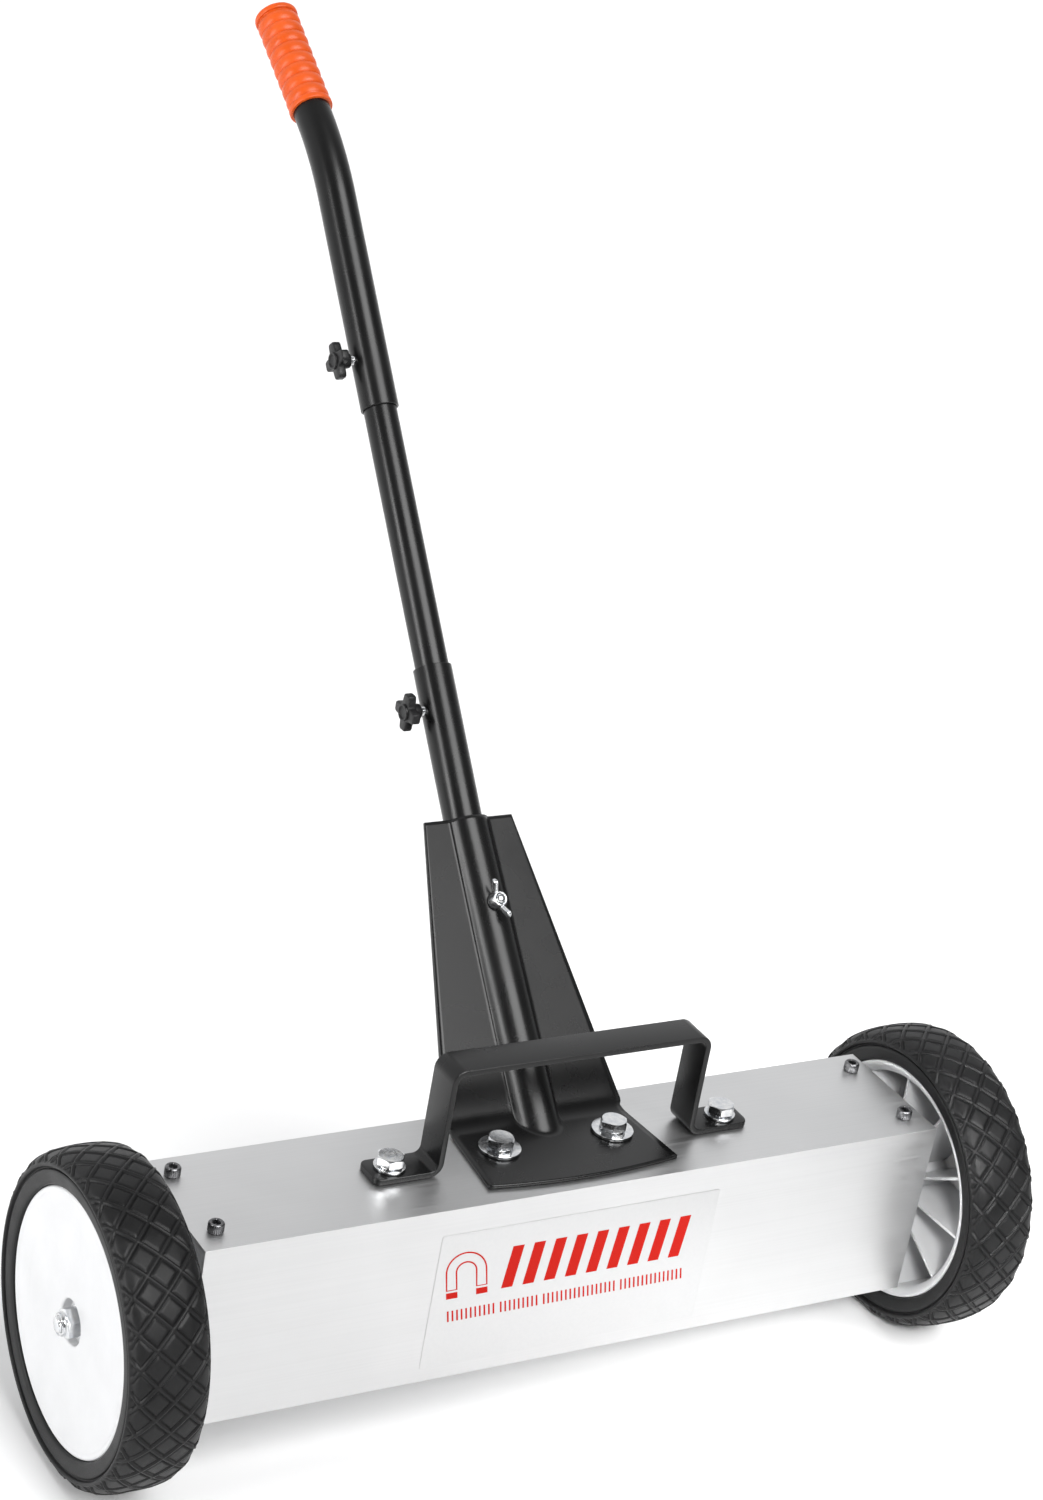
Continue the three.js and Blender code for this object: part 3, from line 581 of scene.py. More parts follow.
def all_fasteners():
    """Every bolt, nut, washer and sleeve but the wing nut's, on the left and on the right."""
    for end in ("front", "rear"):
        for side in SIDES:
            socket_screw(f"{side}_{end}")
    for side, sign in SIDES.items():
        outboard = X * sign
        hex_bolt(f"bracket_hex_bolt_{side}", f"bracket_bolt_{side}", Z, M10, 9 * MM)
        washer(f"bracket_flat_washer_{side}", f"bracket_washer_{side}", Z)
        washer(f"bracket_under_washer_{side}", f"bracket_inner_washer_{side}", Z)
        nut(f"bracket_hex_nut_{side}", f"bracket_nut_{side}", Z)
        hex_bolt(f"lift_hex_bolt_{side}", f"lift_bolt_{side}", Z, M10, 12 * MM)
        washer(f"lift_flat_washer_{side}", f"lift_washer_{side}", Z)
        nut(f"lift_hex_nut_{side}", f"lift_nut_{side}", Z)
        place, length = at_foot_of(f"lift_sleeve_{side}", Z)
        sleeve = ring(M10["radius"] + HOLE_CLEARANCE, 8 * MM, 0, length, 0.5 * MM)
        piece(f"spacer_sleeve_{side}", sleeve, f"lift_sleeve_{side}", place=place)
        hex_bolt(f"axle_hex_bolt_{side}", f"axle_bolt_{side}", -outboard, M10, 16 * MM)
        nut(f"axle_thin_nut_{side}", f"axle_jam_nut_{side}", outboard)
        washer(f"axle_washer_in_{side}", f"axle_inner_washer_{side}", outboard)
        washer(f"axle_washer_out_{side}", f"axle_outer_washer_{side}", outboard)
        lock_nut(side, outboard)


# ---------- wheels ----------
TYRE_RADIUS = 101.6 * MM
TREAD_DIAMONDS = 30
DIAMOND_WIDTH = 21 * MM
STEPS_PER_DIAMOND = 24
SHOULDER_RADIUS = 94.2 * MM
TREAD_FADE = 1.5 * MM
# Across a ridge of the tread, in millimetres: how far from its middle, and how deep. Grooves run beside it.
RIDGE = ((0.35, 0), (0.9, 0.15), (1.4, 1.35), (1.9, 1.4), (2.4, 0.65))


def tyre_outline():
    """Half of the tyre's section, from the middle of the tread to the rim.
    Each point is a radius and a distance from the middle, here in millimetres."""
    tread = [(101.6, 0), (101.6, 4), (101.2, 11.5), (99.9, 18.2), (97.4, 22.9), (94.0, 24.6)]
    lip = [(93.2, 25.2), (91.6, 25.1)]
    groove = [(91.2, 22.6), (90.0, 22.6)]
    side = [(89.6, 24.2), (82, 23.4), (80.3, 22.3)]
    bead = [(80.3, 18.7), (75.8, 18.7)]
    corners = tread + lip + groove + side + bead
    return np.array(soften([(r * MM, w * MM) for r, w in corners], 1.6 * MM, 2, closed=False))


def tyre_shape():
    """A turned section whose tread has two crossing sets of slanting ridges with sunk blocks between them.
    The rows are as far apart as the steps round the tyre, so that the ridges run along the mesh."""
    half = tyre_outline()
    along = np.concatenate([[0], np.cumsum(np.linalg.norm(np.diff(half, axis=0), axis=1))])
    shoulder = along[half[:, 0] < SHOULDER_RADIUS][0]
    places = np.arange(0, shoulder, DIAMOND_WIDTH / STEPS_PER_DIAMOND)
    tread = np.stack([np.interp(places, along, half[:, axis]) for axis in range(2)], axis=1)
    beyond = along > shoulder
    half = np.concatenate([tread, half[beyond]])
    places = np.concatenate([places, along[beyond]])
    section = np.concatenate([half[::-1], half[1:] * [1, -1]])
    from_middle = np.concatenate([places[::-1], -places[1:]])

    tangent = np.gradient(section, axis=0)
    tangent /= np.linalg.norm(tangent, axis=1)[:, None]
    inward = np.stack([tangent[:, 1], -tangent[:, 0]], axis=1)
    steps = TREAD_DIAMONDS * STEPS_PER_DIAMOND
    angle = np.arange(steps) * 2 * np.pi / steps
    round_share = angle[None, :] * TREAD_DIAMONDS / (2 * np.pi)
    across_share = from_middle[:, None] / DIAMOND_WIDTH
    pitch = 2 * np.pi * TYRE_RADIUS / TREAD_DIAMONDS
    side = 1 / hypot(1 / pitch, 1 / DIAMOND_WIDTH)
    shares = [round_share + slant * across_share for slant in (1, -1)]
    distance = np.minimum(*[np.abs(share - np.round(share)) * side for share in shares])
    where, deep = np.array(RIDGE).T * MM
    fade = np.clip((shoulder - np.abs(from_middle)) / TREAD_FADE, 0, 1)[:, None]
    depth = np.interp(distance, where, deep) * fade
    radius = section[:, :1] + inward[:, :1] * depth
    width = section[:, 1:] + inward[:, 1:] * depth
    rows = np.stack([radius * np.cos(angle), radius * np.sin(angle), width], axis=2)
    return skin(rows.tolist(), loop=True)


RIM_RIBS = 11
RIB_PHASE = 0.3
RIM_SEGMENTS = 132


def rim_rib(angle):
    """A thin moulded rib from the hub to the barrel, thinner at its open edge."""
    thin, thick = 0.9 * MM, 1.5 * MM
    top = 19 * MM
    rows = [
        [(radius, -thin, low), (radius, thin, low), (radius, thick, top), (radius, -thick, top)]
        for radius, low in ((14.2 * MM, -21.5 * MM), (73.4 * MM, -17 * MM))
    ]
    return moved(skin(rows, capped=True), Matrix.Rotation(angle, 4, "Z"))


def rim_shape():
    """A hub, a closed disc at the outboard end, a barrel with two flanges, and ribs from hub to barrel.
    Each point is a radius and a distance outboard, in millimetres, starting inside the hub's bore."""
    bore = 5.3
    hub = [(bore, -26.9), (13.2, -26.9), (14.6, -26.2), (16, 16.4), (18, 18.4)]
    barrel_inside = [(70, 18.9), (72.4, 17.5), (72.6, -17.4), (74.6, -19.6)]
    inner_flange = [(77.6, -21.9), (79.4, -22), (80, -21.4), (80, -19.1)]
    tyre_seat = [(75.5, -18.9), (75.5, 18.9)]
    outer_flange = [(80, 19.1), (80, 20.8), (79, 21.9), (77.2, 22), (75.6, 21.3)]
    disc_face = [(60, 20.2), (30, 20.0), (15, 20.2), (13.9, 19.6)]
    nut_recess = [(13.5, 14), (bore, 14)]
    corners = hub + barrel_inside + inner_flange + tyre_seat + outer_flange + disc_face + nut_recess
    shell = turned(soften([(r * MM, h * MM) for r, h in corners], 0.7 * MM, 2), RIM_SEGMENTS)
    ribs = [rim_rib(2 * pi * (index + RIB_PHASE) / RIM_RIBS) for index in range(RIM_RIBS)]
    return together(shell, *ribs)


def wheels():
    """Both wheels, each with its +Z outboard along its own axle."""
    tyre = tyre_shape()
    rim = rim_shape()
    for side, sign in SIDES.items():
        place = standing(JOINTS[f"wheel_{side}_spin"]["pos_m"], X * sign)
        piece(f"treaded_tyre_{side}", tyre, f"tyre_{side}", place=place, smooth=50)
        piece(f"moulded_rim_{side}", rim, f"rim_{side}", place=place)


# ---------- release handle ----------
STRAP_THICK = 4 * MM
STRAP_BEND = 7 * MM
STRAP_EDGE = 0.9 * MM
STRAP_HALF_LENGTH = 93 * MM     # from the middle to the outside of a leg


def bent_path(corners, radius, steps=10):
    """A path through XZ corners whose bends are true arcs."""
    path = [Vector(corners[0])]
    for before, corner, after in zip(corners, corners[1:], corners[2:]):
        corner = Vector(corner)
        one = (Vector(before) - corner).normalized()
        two = (Vector(after) - corner).normalized()
        half = one.angle(two) / 2
        centre = corner + (one + two).normalized() * (radius / sin(half))
        start = corner + one * (radius / tan(half)) - centre
        end = corner + two * (radius / tan(half)) - centre
        for step in range(steps + 1):
            path.append(centre + start.lerp(end, step / steps).normalized() * radius)
    path.append(Vector(corners[-1]))
    return path


def with_rounded_ends(path, radius, steps=5):
    """More points close to both ends of a path, where its strip gets narrower."""
    result = []
    for end, inner in ((path[0], path[1]), (path[-1], path[-2])):
        way = (inner - end).normalized()
        angles = [pi / 2 * step / steps for step in range(steps + 1)]
        result.append([end + way * radius * (1 - cos(angle)) for angle in angles])
    return result[0] + path[1:-1] + result[1][::-1]


def strap_shape():
    """The flat strap: two feet, two legs and a top, with soft edges and rounded foot corners."""
    node = "release_handle"
    low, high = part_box(node)
    half_width = (high.y - low.y) / 2
    centre_y = (high.y + low.y) / 2
    half = STRAP_THICK / 2
    leg = STRAP_HALF_LENGTH - half
    foot_z = low.z + half
    top_z = high.z - half
    corners = [(low.x, foot_z), (-leg, foot_z), (-leg, top_z), (leg, top_z), (leg, foot_z), (high.x, foot_z)]
    corner_radius = 5 * MM
    path = with_rounded_ends(bent_path(corners, STRAP_BEND), corner_radius)
    rows = []
    for index, point in enumerate(path):
        before = path[max(index - 1, 0)]
        after = path[min(index + 1, len(path) - 1)]
        tangent = (after - before).normalized()
        normal = Vector((-tangent.y, tangent.x))
        on_foot = point.y < foot_z + MM
        from_end = min(abs(point.x - low.x), abs(high.x - point.x)) if on_foot else corner_radius
        short = max(corner_radius - from_end, 0)
        width = half_width - (corner_radius - sqrt(max(corner_radius ** 2 - short ** 2, 0)))
        section = soften(rectangle(-width, -half, width, half), STRAP_EDGE, 3)
        rows.append([
            (point.x + normal.x * up, centre_y + across, point.y + normal.y * up) for across, up in section
        ])
    return skin(rows, capped=True)


# ---------- bracket ----------
WING_LEAN = radians(43.3)
WING_HEIGHT = 197 * MM
CHANNEL_RADIUS = 15.5 * MM
CHANNEL_SINK = (2 * MM, 7 * MM)  # of the channel's axis behind the wings, at the bend and at the top
CHANNEL_FILLET = 1.6 * MM
SHEET = 2.5 * MM
BEND_BACK = 27 * MM             # from the axle's plane back to the bend
BEND_FILLET = 6 * MM
BEND_HALF_WIDTH = 62 * MM
FOOT_AHEAD = 34.5 * MM          # from the axle's plane forward to the foot's front corners
FOOT_CROWN = 5.5 * MM           # how far its front edge bows out in the middle
FOOT_HALF_WIDTH = 68 * MM
WING_FLARE = 3 * MM
WING_FLARE_HEIGHT = 7 * MM
WING_TAPER = 33 * MM


def soft_union(first, second, size):
    """The distance to two solids joined with a fillet."""
    near = np.clip(size - np.abs(first - second), 0, None) / size
    return np.minimum(first, second) - near * near * size / 4


def bracket_front(points, corner, up, out):
    """How far points are in front of the pressed sheet: its foot, its wings and the channel between them."""
    rel = points - corner
    foot = rel[..., 2]
    wing = rel @ out
    rise = (CHANNEL_SINK[1] - CHANNEL_SINK[0]) / WING_HEIGHT
    channel_axis = up - out * rise
    channel_axis = channel_axis / np.linalg.norm(channel_axis)
    from_axis = rel + out * CHANNEL_SINK[0]
    from_axis = from_axis - (from_axis @ channel_axis)[..., None] * channel_axis
    channel = np.linalg.norm(from_axis, axis=-1) - CHANNEL_RADIUS
    sheet = soft_union(foot, wing, BEND_FILLET)
    return soft_union(sheet, channel, CHANNEL_FILLET)


def bracket_columns(half_width):
    """Places across the sheet, close together where the sides of the channel are steep."""
    over = [CHANNEL_RADIUS * sin(radians(angle)) for angle in range(0, 81, 5)]
    beside = [CHANNEL_RADIUS + gap * MM for gap in (-0.05, 0.2, 0.6, 1.2, 2.1, 3.5, 5.5)]
    flat_steps = 10
    flat_width = half_width - beside[-1]
    outside = [beside[-1] + flat_width * step / flat_steps for step in range(1, flat_steps + 1)]
    right = over + beside + outside
    return [-place for place in reversed(right[1:])] + right


def bracket_shape():
    """The pressed sheet's front face, found along rays that turn from the foot's face to the wings' face."""
    corner = Vector((0, AXLE_Y + BEND_BACK, reach("bracket_washer_left", Z)[0] - 0.3 * MM))
    up = Vector((0, sin(WING_LEAN), cos(WING_LEAN)))
    out = Vector((0, -cos(WING_LEAN), sin(WING_LEAN)))
    turn = 14 * MM  # the rays turn over this much of the foot, and as much of the wings
    search_from, search_to, halvings = -6 * MM, 45 * MM, 34
    rows = []
    directions = []
    foot_rows = 46
    for row in range(foot_rows):
        share = row / foot_rows
        half_width = FOOT_HALF_WIDTH + (BEND_HALF_WIDTH - FOOT_HALF_WIDTH) * share
        line = []
        for across in bracket_columns(half_width):
            bow = FOOT_CROWN * (1 - (across / FOOT_HALF_WIDTH) ** 2)
            ahead = FOOT_AHEAD + bow + BEND_BACK
            line.append(corner + X * across - Vector((0, ahead * (1 - share), 0)))
        rows.append(line)
        depth = (FOOT_AHEAD + BEND_BACK) * (1 - share)
        directions.append(0.5 * max(1 - depth / turn, 0))
    wing_rows = 84
    for row in range(wing_rows + 1):
        height = WING_HEIGHT * row / wing_rows
        flare = min(height / WING_FLARE_HEIGHT, 1)
        taper = WING_TAPER * height / WING_HEIGHT * flare
        half_width = BEND_HALF_WIDTH + WING_FLARE * flare * (2 - flare) - taper
        rows.append([corner + X * across + up * height for across in bracket_columns(half_width)])
        directions.append(0.5 + 0.5 * min(height / turn, 1))
    points = np.array(rows)
    ways = np.array([Z.lerp(out, share).normalized() for share in directions])[:, None, :]
    corner, up, out = np.array(corner), np.array(up), np.array(out)
    low = np.full(points.shape[:2], search_from)
    high = np.full(points.shape[:2], search_to)
    for _ in range(halvings):
        half = (low + high) / 2
        inside = bracket_front(points + ways * half[..., None], corner, up, out) < 0
        low = np.where(inside, half, low)
        high = np.where(inside, high, half)
    return skin((points + ways * high[..., None]).tolist(), around=False)


def bracket():
    """The front face given the sheet's thickness, behind it and under it."""
    made = piece("pressed_bracket", bracket_shape(), "bracket_plate", smooth=60)
    facing = sum((face.normal.z * face.area for face in made.data.polygons), 0)
    if facing < 0:
        made.data.flip_normals()
    thickness = made.modifiers.new("sheet", "SOLIDIFY")
    thickness.thickness = SHEET
    thickness.offset = -1


# ---------- pole ----------
POLE_RADIUS = 12.7 * MM
POLE_WALL = 1.3 * MM
MIDDLE_RADIUS = 11.1 * MM
MIDDLE_WALL = 1.5 * MM
TUBE_EDGE = 0.5 * MM
TUBE_SEGMENTS = 72
POLE_POINT = Vector(JOINTS["clamp_lower_turn"]["pos_m"])
UPPER_STRAIGHT = 150.1 * MM
UPPER_BEND_RADIUS = 220 * MM
UPPER_BEND_ANGLE = radians(16)
UPPER_BEND_LENGTH = UPPER_BEND_RADIUS * UPPER_BEND_ANGLE
UPPER_END = 87.6 * MM           # the straight part after the bend
GRIP_START = 7.3 * MM           # from the end of the bend


def pole_place(distance):
    """A place on the pole's axis: +Z along the pole, -Y ahead of it, at a distance from the lower clamp."""
    axes = Matrix((X, -POLE_AHEAD, POLE_UP)).transposed().to_4x4()
    return Matrix.Translation(POLE_POINT + POLE_UP * distance) @ axes


def pole_foot(node):
    """The place at a tube's low end, and how far up the pole the tube reaches from there."""
    low, high = reach_from(node, POLE_UP, POLE_POINT)
    return pole_place(low), high - low


def straight_tube(name, node, radius, wall):
    """A tube with straight walls and rounded ends."""
    place, length = pole_foot(node)
    piece(name, ring(radius - wall, radius, 0, length, TUBE_EDGE, TUBE_SEGMENTS), node, place=place)


def upper_line(distance):
    """A place along the upper tube: straight, a bend back toward the user, and straight again."""
    angle = min(max((distance - UPPER_STRAIGHT) / UPPER_BEND_RADIUS, 0), UPPER_BEND_ANGLE)
    before = min(distance, UPPER_STRAIGHT)
    after = max(distance - UPPER_STRAIGHT - UPPER_BEND_LENGTH, 0)
    back = UPPER_BEND_RADIUS * (1 - cos(angle)) + after * sin(angle)
    along = before + UPPER_BEND_RADIUS * sin(angle) + after * cos(angle)
    return Matrix.Translation((0, back, along)) @ Matrix.Rotation(-angle, 4, "X")


def upper_tube():
    """The bent tube: its walls follow the upper line, and its low mouth is chamfered outside."""
    start, _ = pole_foot("upper_tube")
    length = UPPER_STRAIGHT + UPPER_BEND_LENGTH + UPPER_END
    chamfer = 0.4 * MM
    steps = 60
    places = [length * step / steps for step in range(steps + 1)]
    outside = [(POLE_RADIUS, place) for place in places]
    inside = [(POLE_RADIUS - POLE_WALL, place) for place in reversed(places)]
    outside[0] = (POLE_RADIUS, chamfer)
    profile = [(POLE_RADIUS - chamfer, 0), *outside, *inside]
    rows = []
    for radius, distance in profile:
        here = start @ upper_line(distance)
        rows.append([
            here @ Vector((radius * cos(a), radius * sin(a), 0))
            for a in round_angles(TUBE_SEGMENTS)
        ])
    piece("bent_upper_tube", skin(rows, loop=True), "upper_tube")


def grip():
    """A moulded vinyl sleeve: eight round rings between a lipped mouth and a lipped, domed end."""
    length = 83.6 * MM
    valley, crest, flange, bore = 13.2 * MM, 14.8 * MM, 15 * MM, 12.8 * MM
    lip = 4 * MM
    end_wall = 3.4 * MM
    ribs = 8
    steps_per_rib = 12
    fullness = 0.62
    bumps_start = lip + 0.8 * MM
    pitch = (length - 2 * bumps_start) / ribs
    inside = [(0, length - end_wall), (bore, length - end_wall), (bore, 0)]
    profile = soften(inside, 0.5 * MM, 3, closed=False)
    profile += soften([(bore, 0), (flange, 0), (flange, lip), (valley, lip)], 1.2 * MM, 5, closed=False)
    for rib in range(ribs):
        for step in range(steps_per_rib):
            share = step / steps_per_rib
            swell = sin(pi * share) ** fullness
            profile.append((valley + (crest - valley) * swell, bumps_start + pitch * (rib + share)))
    end = [(valley, length - bumps_start), (valley, length - lip), (flange, length - lip), (flange, length)]
    dome = [(12.6 * MM, length - 0.1 * MM), (12 * MM, length - 0.8 * MM), (0, length - 0.4 * MM)]
    profile += soften([*end, *dome], 1.6 * MM, 5, closed=False)
    start, _ = pole_foot("upper_tube")
    to_grip = UPPER_STRAIGHT + UPPER_BEND_LENGTH + GRIP_START
    piece("ribbed_grip", turned(profile, 96), "grip", place=start @ upper_line(to_grip), smooth=50)


# ---------- clamp knobs and wing nut ----------
KNOB_TURNS = {"lower": radians(-40), "upper": 0}
HUB_SEGMENTS = 48


def knob_outline():
    """A cross of four straight arms with rounded tips, and fillets between them."""
    tip, half, shoulder = 12.5 * MM, 3.9 * MM, 10.5 * MM
    between = half + 0.6 * MM
    arm = [(between, between), (half, shoulder), (half - MM, tip), (MM - half, tip), (-half, shoulder)]
    corners = []
    for quarter in range(4):
        turn = Matrix.Rotation(pi / 2 * quarter, 2)
        corners += [turn @ Vector(point) for point in arm]
    return soften(corners, 1.6 * MM, 4)


def turned_solid(corners, edge, steps):
    """A solid whose outline starts and ends on the axis."""
    return turned(soften(corners, edge, steps, closed=False), HUB_SEGMENTS)


def clamp(tube):
    """A knob moulded on the end of a threaded stud, pointing out of the left side of the pole."""
    node = f"clamp_knob_{tube}"
    joint = JOINTS[f"clamp_{tube}_turn"]
    out = Vector(joint["axis"]).normalized()
    at = Vector(joint["pos_m"])
    place = Matrix((POLE_UP, out.cross(POLE_UP), out)).transposed().to_4x4()
    place @= Matrix.Rotation(KNOB_TURNS[tube], 4, "Z")
    place.translation = at
    low, high = reach_from(node, out, at)
    arms = prism(knob_outline(), high - 7.2 * MM, high - 1.4 * MM, 1.1 * MM)
    hub = 5.8 * MM
    stem_top = high - 6.6 * MM
    stem = turned_solid([(0, low), (5 * MM, low), (hub, stem_top), (0, stem_top)], 0.7 * MM, 3)
    crown_foot = high - 2 * MM
    rim = [(0, crown_foot), (hub, crown_foot), (5.6 * MM, high), (4.4 * MM, high)]
    dish = [(3.9 * MM, high - MM), (0, high - 0.9 * MM)]
    crown = turned_solid(rim + dish, 0.4 * MM, 2)
    piece(f"lobed_knob_{tube}", together(arms, stem, crown), node, place=place, smooth=40)
    start, end = reach_from(f"clamp_stud_{tube}", out, at)
    radius = M6["radius"]
    thread = thread_rows(radius, start + 0.5 * MM, end, M6["pitch"])
    stud = turned([(0, start), (radius * 0.7, start), *thread, (0, end)], 32)
    piece(f"threaded_stud_{tube}", stud, f"clamp_stud_{tube}", place=place)


def wing_shape():
    """One wing, which sweeps out along +X and up along +Z and has a round tip."""
    start, spread, rise, curve = Vector((3.6 * MM, 0, 3.2 * MM)), 9 * MM, 6.6 * MM, 1.5
    half_height, swell, half_thickness, round_from = 2.5 * MM, 0.4 * MM, 1.6 * MM, 0.85
    rows = []
    steps, sides = 18, 20
    for step in range(steps + 1):
        share = step / steps
        centre = start + Vector((spread * share, 0, rise * share ** curve))
        slope = Vector((spread, 0, rise * curve * share ** (curve - 1))).normalized()
        normal = Vector((-slope.z, 0, slope.x))
        past = max(share - round_from, 0) / (1 - round_from)
        tip = sqrt(max(1 - past ** 2, 0))
        height = (half_height + swell * share) * tip
        thick = half_thickness * tip
        rows.append([
            centre + normal * (height * cos(a)) + Vector((0, thick * sin(a), 0))
            for a in round_angles(sides)
        ])
    return skin(rows, capped=True)


def wing_nut():
    """A tapered hub with two wings, and the bolt that it holds."""
    node = "wing_nut"
    joint = JOINTS["wing_nut_turn"]
    out = Vector(joint["axis"]).normalized()
    at = Vector(joint["pos_m"])
    at += out * reach_from(node, out, at)[0]
    offsets = [vertex.co - at for vertex in frame["nodes"][node].data.vertices]
    across = [offset - out * offset.dot(out) for offset in offsets]
    wings_way = max(across, key=lambda way: way.length).normalized()
    place = Matrix((wings_way, out.cross(wings_way), out)).transposed().to_4x4()
    place.translation = at
    bore, foot, top, height = 3.2 * MM, 6 * MM, 4.7 * MM, 7 * MM
    corners = [(bore, 0), (foot, 0), (foot, 1.8 * MM), (top, height), (bore, height)]
    hub = turned(soften(corners, 0.6 * MM), HUB_SEGMENTS)
    wing = wing_shape()
    shapes = [hub, wing, moved(wing, Matrix.Rotation(pi, 4, "Z"))]
    piece("cast_wing_nut", together(*shapes), node, place=place, smooth=50)
    hex_bolt("wing_nut_bolt", "wing_bolt", -out, M6, 14 * MM, on_axis=at)


# ---------- box and label ----------


def eased_box_pieces():
    """CAD pieces that stay, with their edges eased."""
    magnets = [f"magnet_{number}" for number in range(1, 5)]
    for node in ("housing_shell", "end_plate_left", "end_plate_right", "magnet_tray", *magnets):
        kept = frame["nodes"][node]
        weld = kept.modifiers.new("weld", "WELD")
        weld.merge_threshold = 0.01 * MM
        ease = kept.modifiers.new("eased edges", "BEVEL")
        ease.width = 0.45 * MM
        ease.segments = 2
        ease.angle_limit = radians(50)


INK_HEIGHT = 0.05 * MM
PRINT_LEAN = -0.19              # how far the print leans to one side for each unit of height


def on_label(shape, place):
    """A flat XY shape stood up on the front of the label."""
    return moved(shape, place @ Matrix.Rotation(pi / 2, 4, "X"))


def flat(points):
    """A printed shape filled with ink."""
    rows = [[(x, z, height) for x, z in points] for height in (0, INK_HEIGHT)]
    return skin(rows, capped=True)


def line_round(points, width):
    """A printed line of a given width just inside an outline."""
    count = len(points)
    inside = []
    for index, (x, z) in enumerate(points):
        after, before = Vector(points[(index + 1) % count]), Vector(points[index - 1])
        way = (after - before).normalized()
        inside.append((x - way.y * width, z + way.x * width))
    edges = ((points, 0), (points, INK_HEIGHT), (inside, INK_HEIGHT), (inside, 0))
    return skin([[(x, z, height) for x, z in edge] for edge, height in edges], loop=True)


def horseshoe(radius, band, leg):
    """A horseshoe magnet drawn in outline: a half ring with two straight legs and filled pole tips."""
    steps = 24
    angles = [pi * step / steps for step in range(steps + 1)]
    outer = [(radius * cos(a), radius * sin(a)) for a in angles]
    inner = [((radius - band) * cos(a), (radius - band) * sin(a)) for a in reversed(angles)]
    arch = [(radius, -leg), *outer, (-radius, -leg), (band - radius, -leg), *inner, (radius - band, -leg)]
    shapes = [line_round(arch, 1.1 * MM)]
    top, bottom = -leg - 1.5 * MM, -leg - 6 * MM
    for left in (-radius, radius - band):
        shapes.append(flat(rectangle(left, bottom, left + band, top)))
    return together(*shapes)


def slanting_stripes():
    """A row of wide bars that lean to the right."""
    start, pitch, width, slant = -51 * MM, 15.2 * MM, 8 * MM, 9 * MM
    bottom, top = 2 * MM, 32 * MM
    stripes = []
    for index in range(9):
        left = start + pitch * index
        foot = [(left, bottom), (left + width, bottom)]
        stripes.append(flat(foot + [(left + width + slant, top), (left + slant, top)]))
    return together(*stripes)


def fine_ticks():
    """Groups of short upright bars with gaps between the groups."""
    left, bottom, top = -89 * MM, -16 * MM, -8 * MM
    width, pitch, gap = 1.2 * MM, 3.2 * MM, 4 * MM
    ticks = []
    for count in (11, 9, 17, 15):
        for _ in range(count):
            ticks.append(flat(rectangle(left, bottom, left + width, top)))
            left += pitch
        left += gap - pitch + width
    return together(*ticks)


def label():
    """Plain film with generic printing: a horseshoe magnet, slanting stripes and groups of fine ticks."""
    node = "front_label"
    low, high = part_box(node)
    width, height = high.x - low.x, high.z - low.z
    thickness, behind = 0.12 * MM, 0.2 * MM
    seat = Vector(((low.x + high.x) / 2, high.y + behind, (low.z + high.z) / 2))
    outline = soften(rectangle(-width / 2, -height / 2, width / 2, height / 2), 2 * MM, 5)
    film = prism(outline, 0, thickness, 0.05 * MM)
    piece("label_film", on_label(film, Matrix.Translation(seat)), node)
    lean = Matrix.Identity(4)
    lean[0][1] = PRINT_LEAN
    magnet = moved(horseshoe(14.5 * MM, 8 * MM, 12.5 * MM), Matrix.Translation((-75 * MM, 19.5 * MM, 0)))
    print_shape = moved(together(magnet, slanting_stripes(), fine_ticks()), lean)
    face = Matrix.Translation(seat - Vector((0, thickness, 0)))
    piece("label_print", on_label(print_shape, face), node, finish=red_ink(), slot="white_film")


# ---------- camera, lights and floor ----------


def camera():
    """The camera looks down at the sweeper from its front left, turned a little about its own axis."""
    target = Vector((0, -0.1236, 0.3888))
    distance = 2.0405
    azimuth, elevation, roll = map(radians, (33.91, 23.93, 10.26))
    forward = Vector((
        sin(azimuth) * cos(elevation),
        cos(azimuth) * cos(elevation),
        -sin(elevation),
    ))
    data = bpy.data.cameras.new("camera")
    data.lens, data.sensor_width = 78.9, 36
    made = bpy.data.objects.new("camera", data)
    made.location = target - forward * distance
    made.rotation_mode = "QUATERNION"
    made.rotation_quaternion = forward.to_track_quat("-Z", "Y") @ Quaternion((0, 0, 1), roll)
    bpy.context.scene.collection.objects.link(made)
    bpy.context.scene.camera = made


def toward(light, direction):
    """Puts a light into the scene, shining in a direction."""
    light.rotation_mode = "QUATERNION"
    light.rotation_quaternion = Vector(direction).to_track_quat("-Z", "Y")
    bpy.context.scene.collection.objects.link(light)


def key_light():
    """A wide, far light from above and in front, so that the floor is evenly bright."""
    data = bpy.data.lights.new("key", "SUN")
    data.energy = 3.1
    data.angle = radians(41)
    toward(bpy.data.objects.new("key", data), (-0.13, 0.64, -0.75))


def softbox(name, where, size, radiance, target=(0, 0, 0.4), spread=180):
    """An even panel facing a target. spread in degrees is how widely it shines."""
    data = bpy.data.lights.new(name, "AREA")
    data.shape = "RECTANGLE"
    data.size, data.size_y = size
    data.energy = radiance * pi * size[0] * size[1]
    data.spread = radians(spread)
    made = bpy.data.objects.new(name, data)
    made.location = where
    toward(made, Vector(target) - Vector(where))


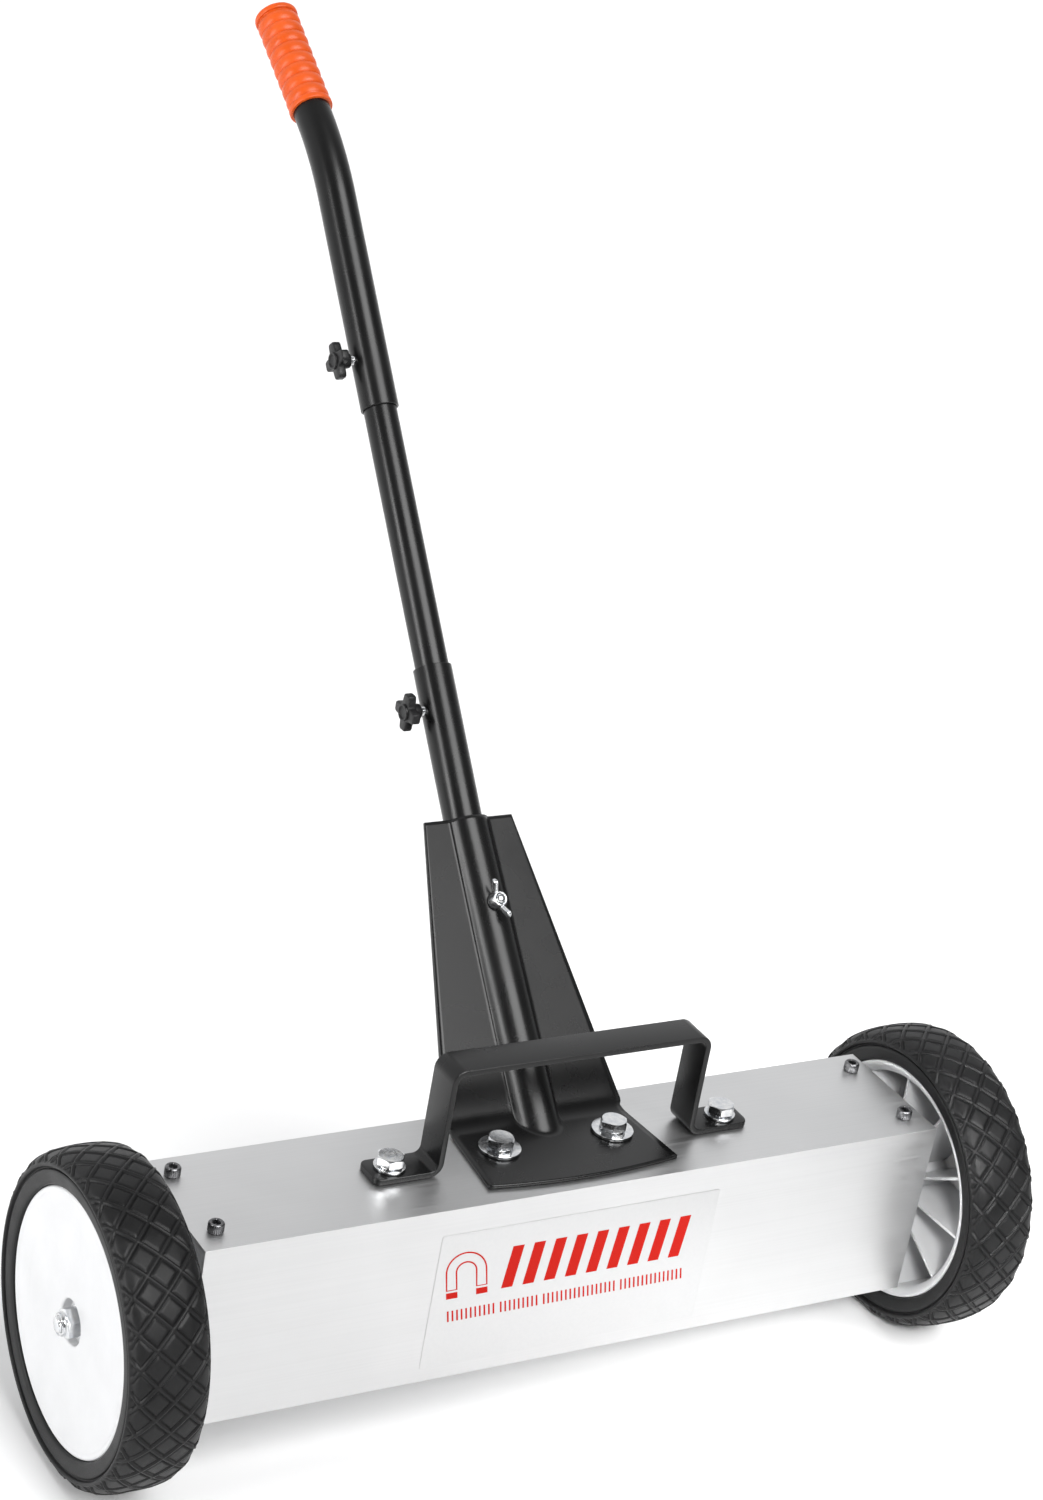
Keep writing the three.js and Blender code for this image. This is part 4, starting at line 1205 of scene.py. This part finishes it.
def world():
    """A dim room that gets brighter from just ahead of the sweeper (-Y) to behind it (+Y)."""
    ramp = {"From Min": -0.1, "From Max": 0.55, "To Min": 0.18, "To Max": 0.92}
    made = bpy.data.worlds.new("studio")
    made.use_nodes = True
    nodes, links = made.node_tree.nodes, made.node_tree.links
    background = nodes["Background"]
    background.inputs["Color"].default_value = (0.985, 0.99, 1.0, 1)
    direction = nodes.new("ShaderNodeSeparateXYZ")
    brightness = nodes.new("ShaderNodeMapRange")
    for socket, value in ramp.items():
        brightness.inputs[socket].default_value = value
    links.new(nodes.new("ShaderNodeTexCoord").outputs["Generated"], direction.inputs["Vector"])
    links.new(direction.outputs["Y"], brightness.inputs["Value"])
    links.new(brightness.outputs["Result"], background.inputs["Strength"])
    bpy.context.scene.world = made


def floor():
    """A plain square, wide enough to fill the camera's view."""
    half = 14
    corners = [(x, y, 0) for x, y in rectangle(-half, -half, half, half)]
    mesh = bpy.data.meshes.new("floor")
    mesh.from_pydata(corners, [], [(0, 1, 2, 3)])
    mesh.materials.append(pale_floor())
    made = bpy.data.objects.new("floor", mesh)
    bpy.context.scene.collection.objects.link(made)


def studio():
    """The lights, one of them just for the inside of the right wheel, then the room and the floor."""
    key_light()
    softbox("left_softbox", where=(-2.6, -0.2, 1.1), size=(0.5, 1.9), radiance=13)
    softbox("low_fill", where=(-3.2, -1.5, 0.6), size=(1.2, 1.0), radiance=4)
    wheel = JOINTS["wheel_right_spin"]["pos_m"]
    softbox("wheel_light", where=(-0.5, -1.6, 1.3), size=(0.4, 0.4), radiance=1.0, target=wheel, spread=18)
    world()
    floor()
    bpy.context.scene.view_settings.view_transform = "Standard"


for cad_node, cad_object in frame["nodes"].items():
    cad_object.data.materials.clear()
    cad_object.data.materials.append(FINISHES[SLOT_OF[cad_node]])
camera()
studio()
eased_box_pieces()
label()
all_fasteners()
wheels()
piece("strap_handle", strap_shape(), "release_handle")
bracket()
straight_tube("round_lower_tube", "lower_tube", POLE_RADIUS, POLE_WALL)
straight_tube("round_middle_tube", "middle_tube", MIDDLE_RADIUS, MIDDLE_WALL)
upper_tube()
grip()
clamp("lower")
clamp("upper")
wing_nut()
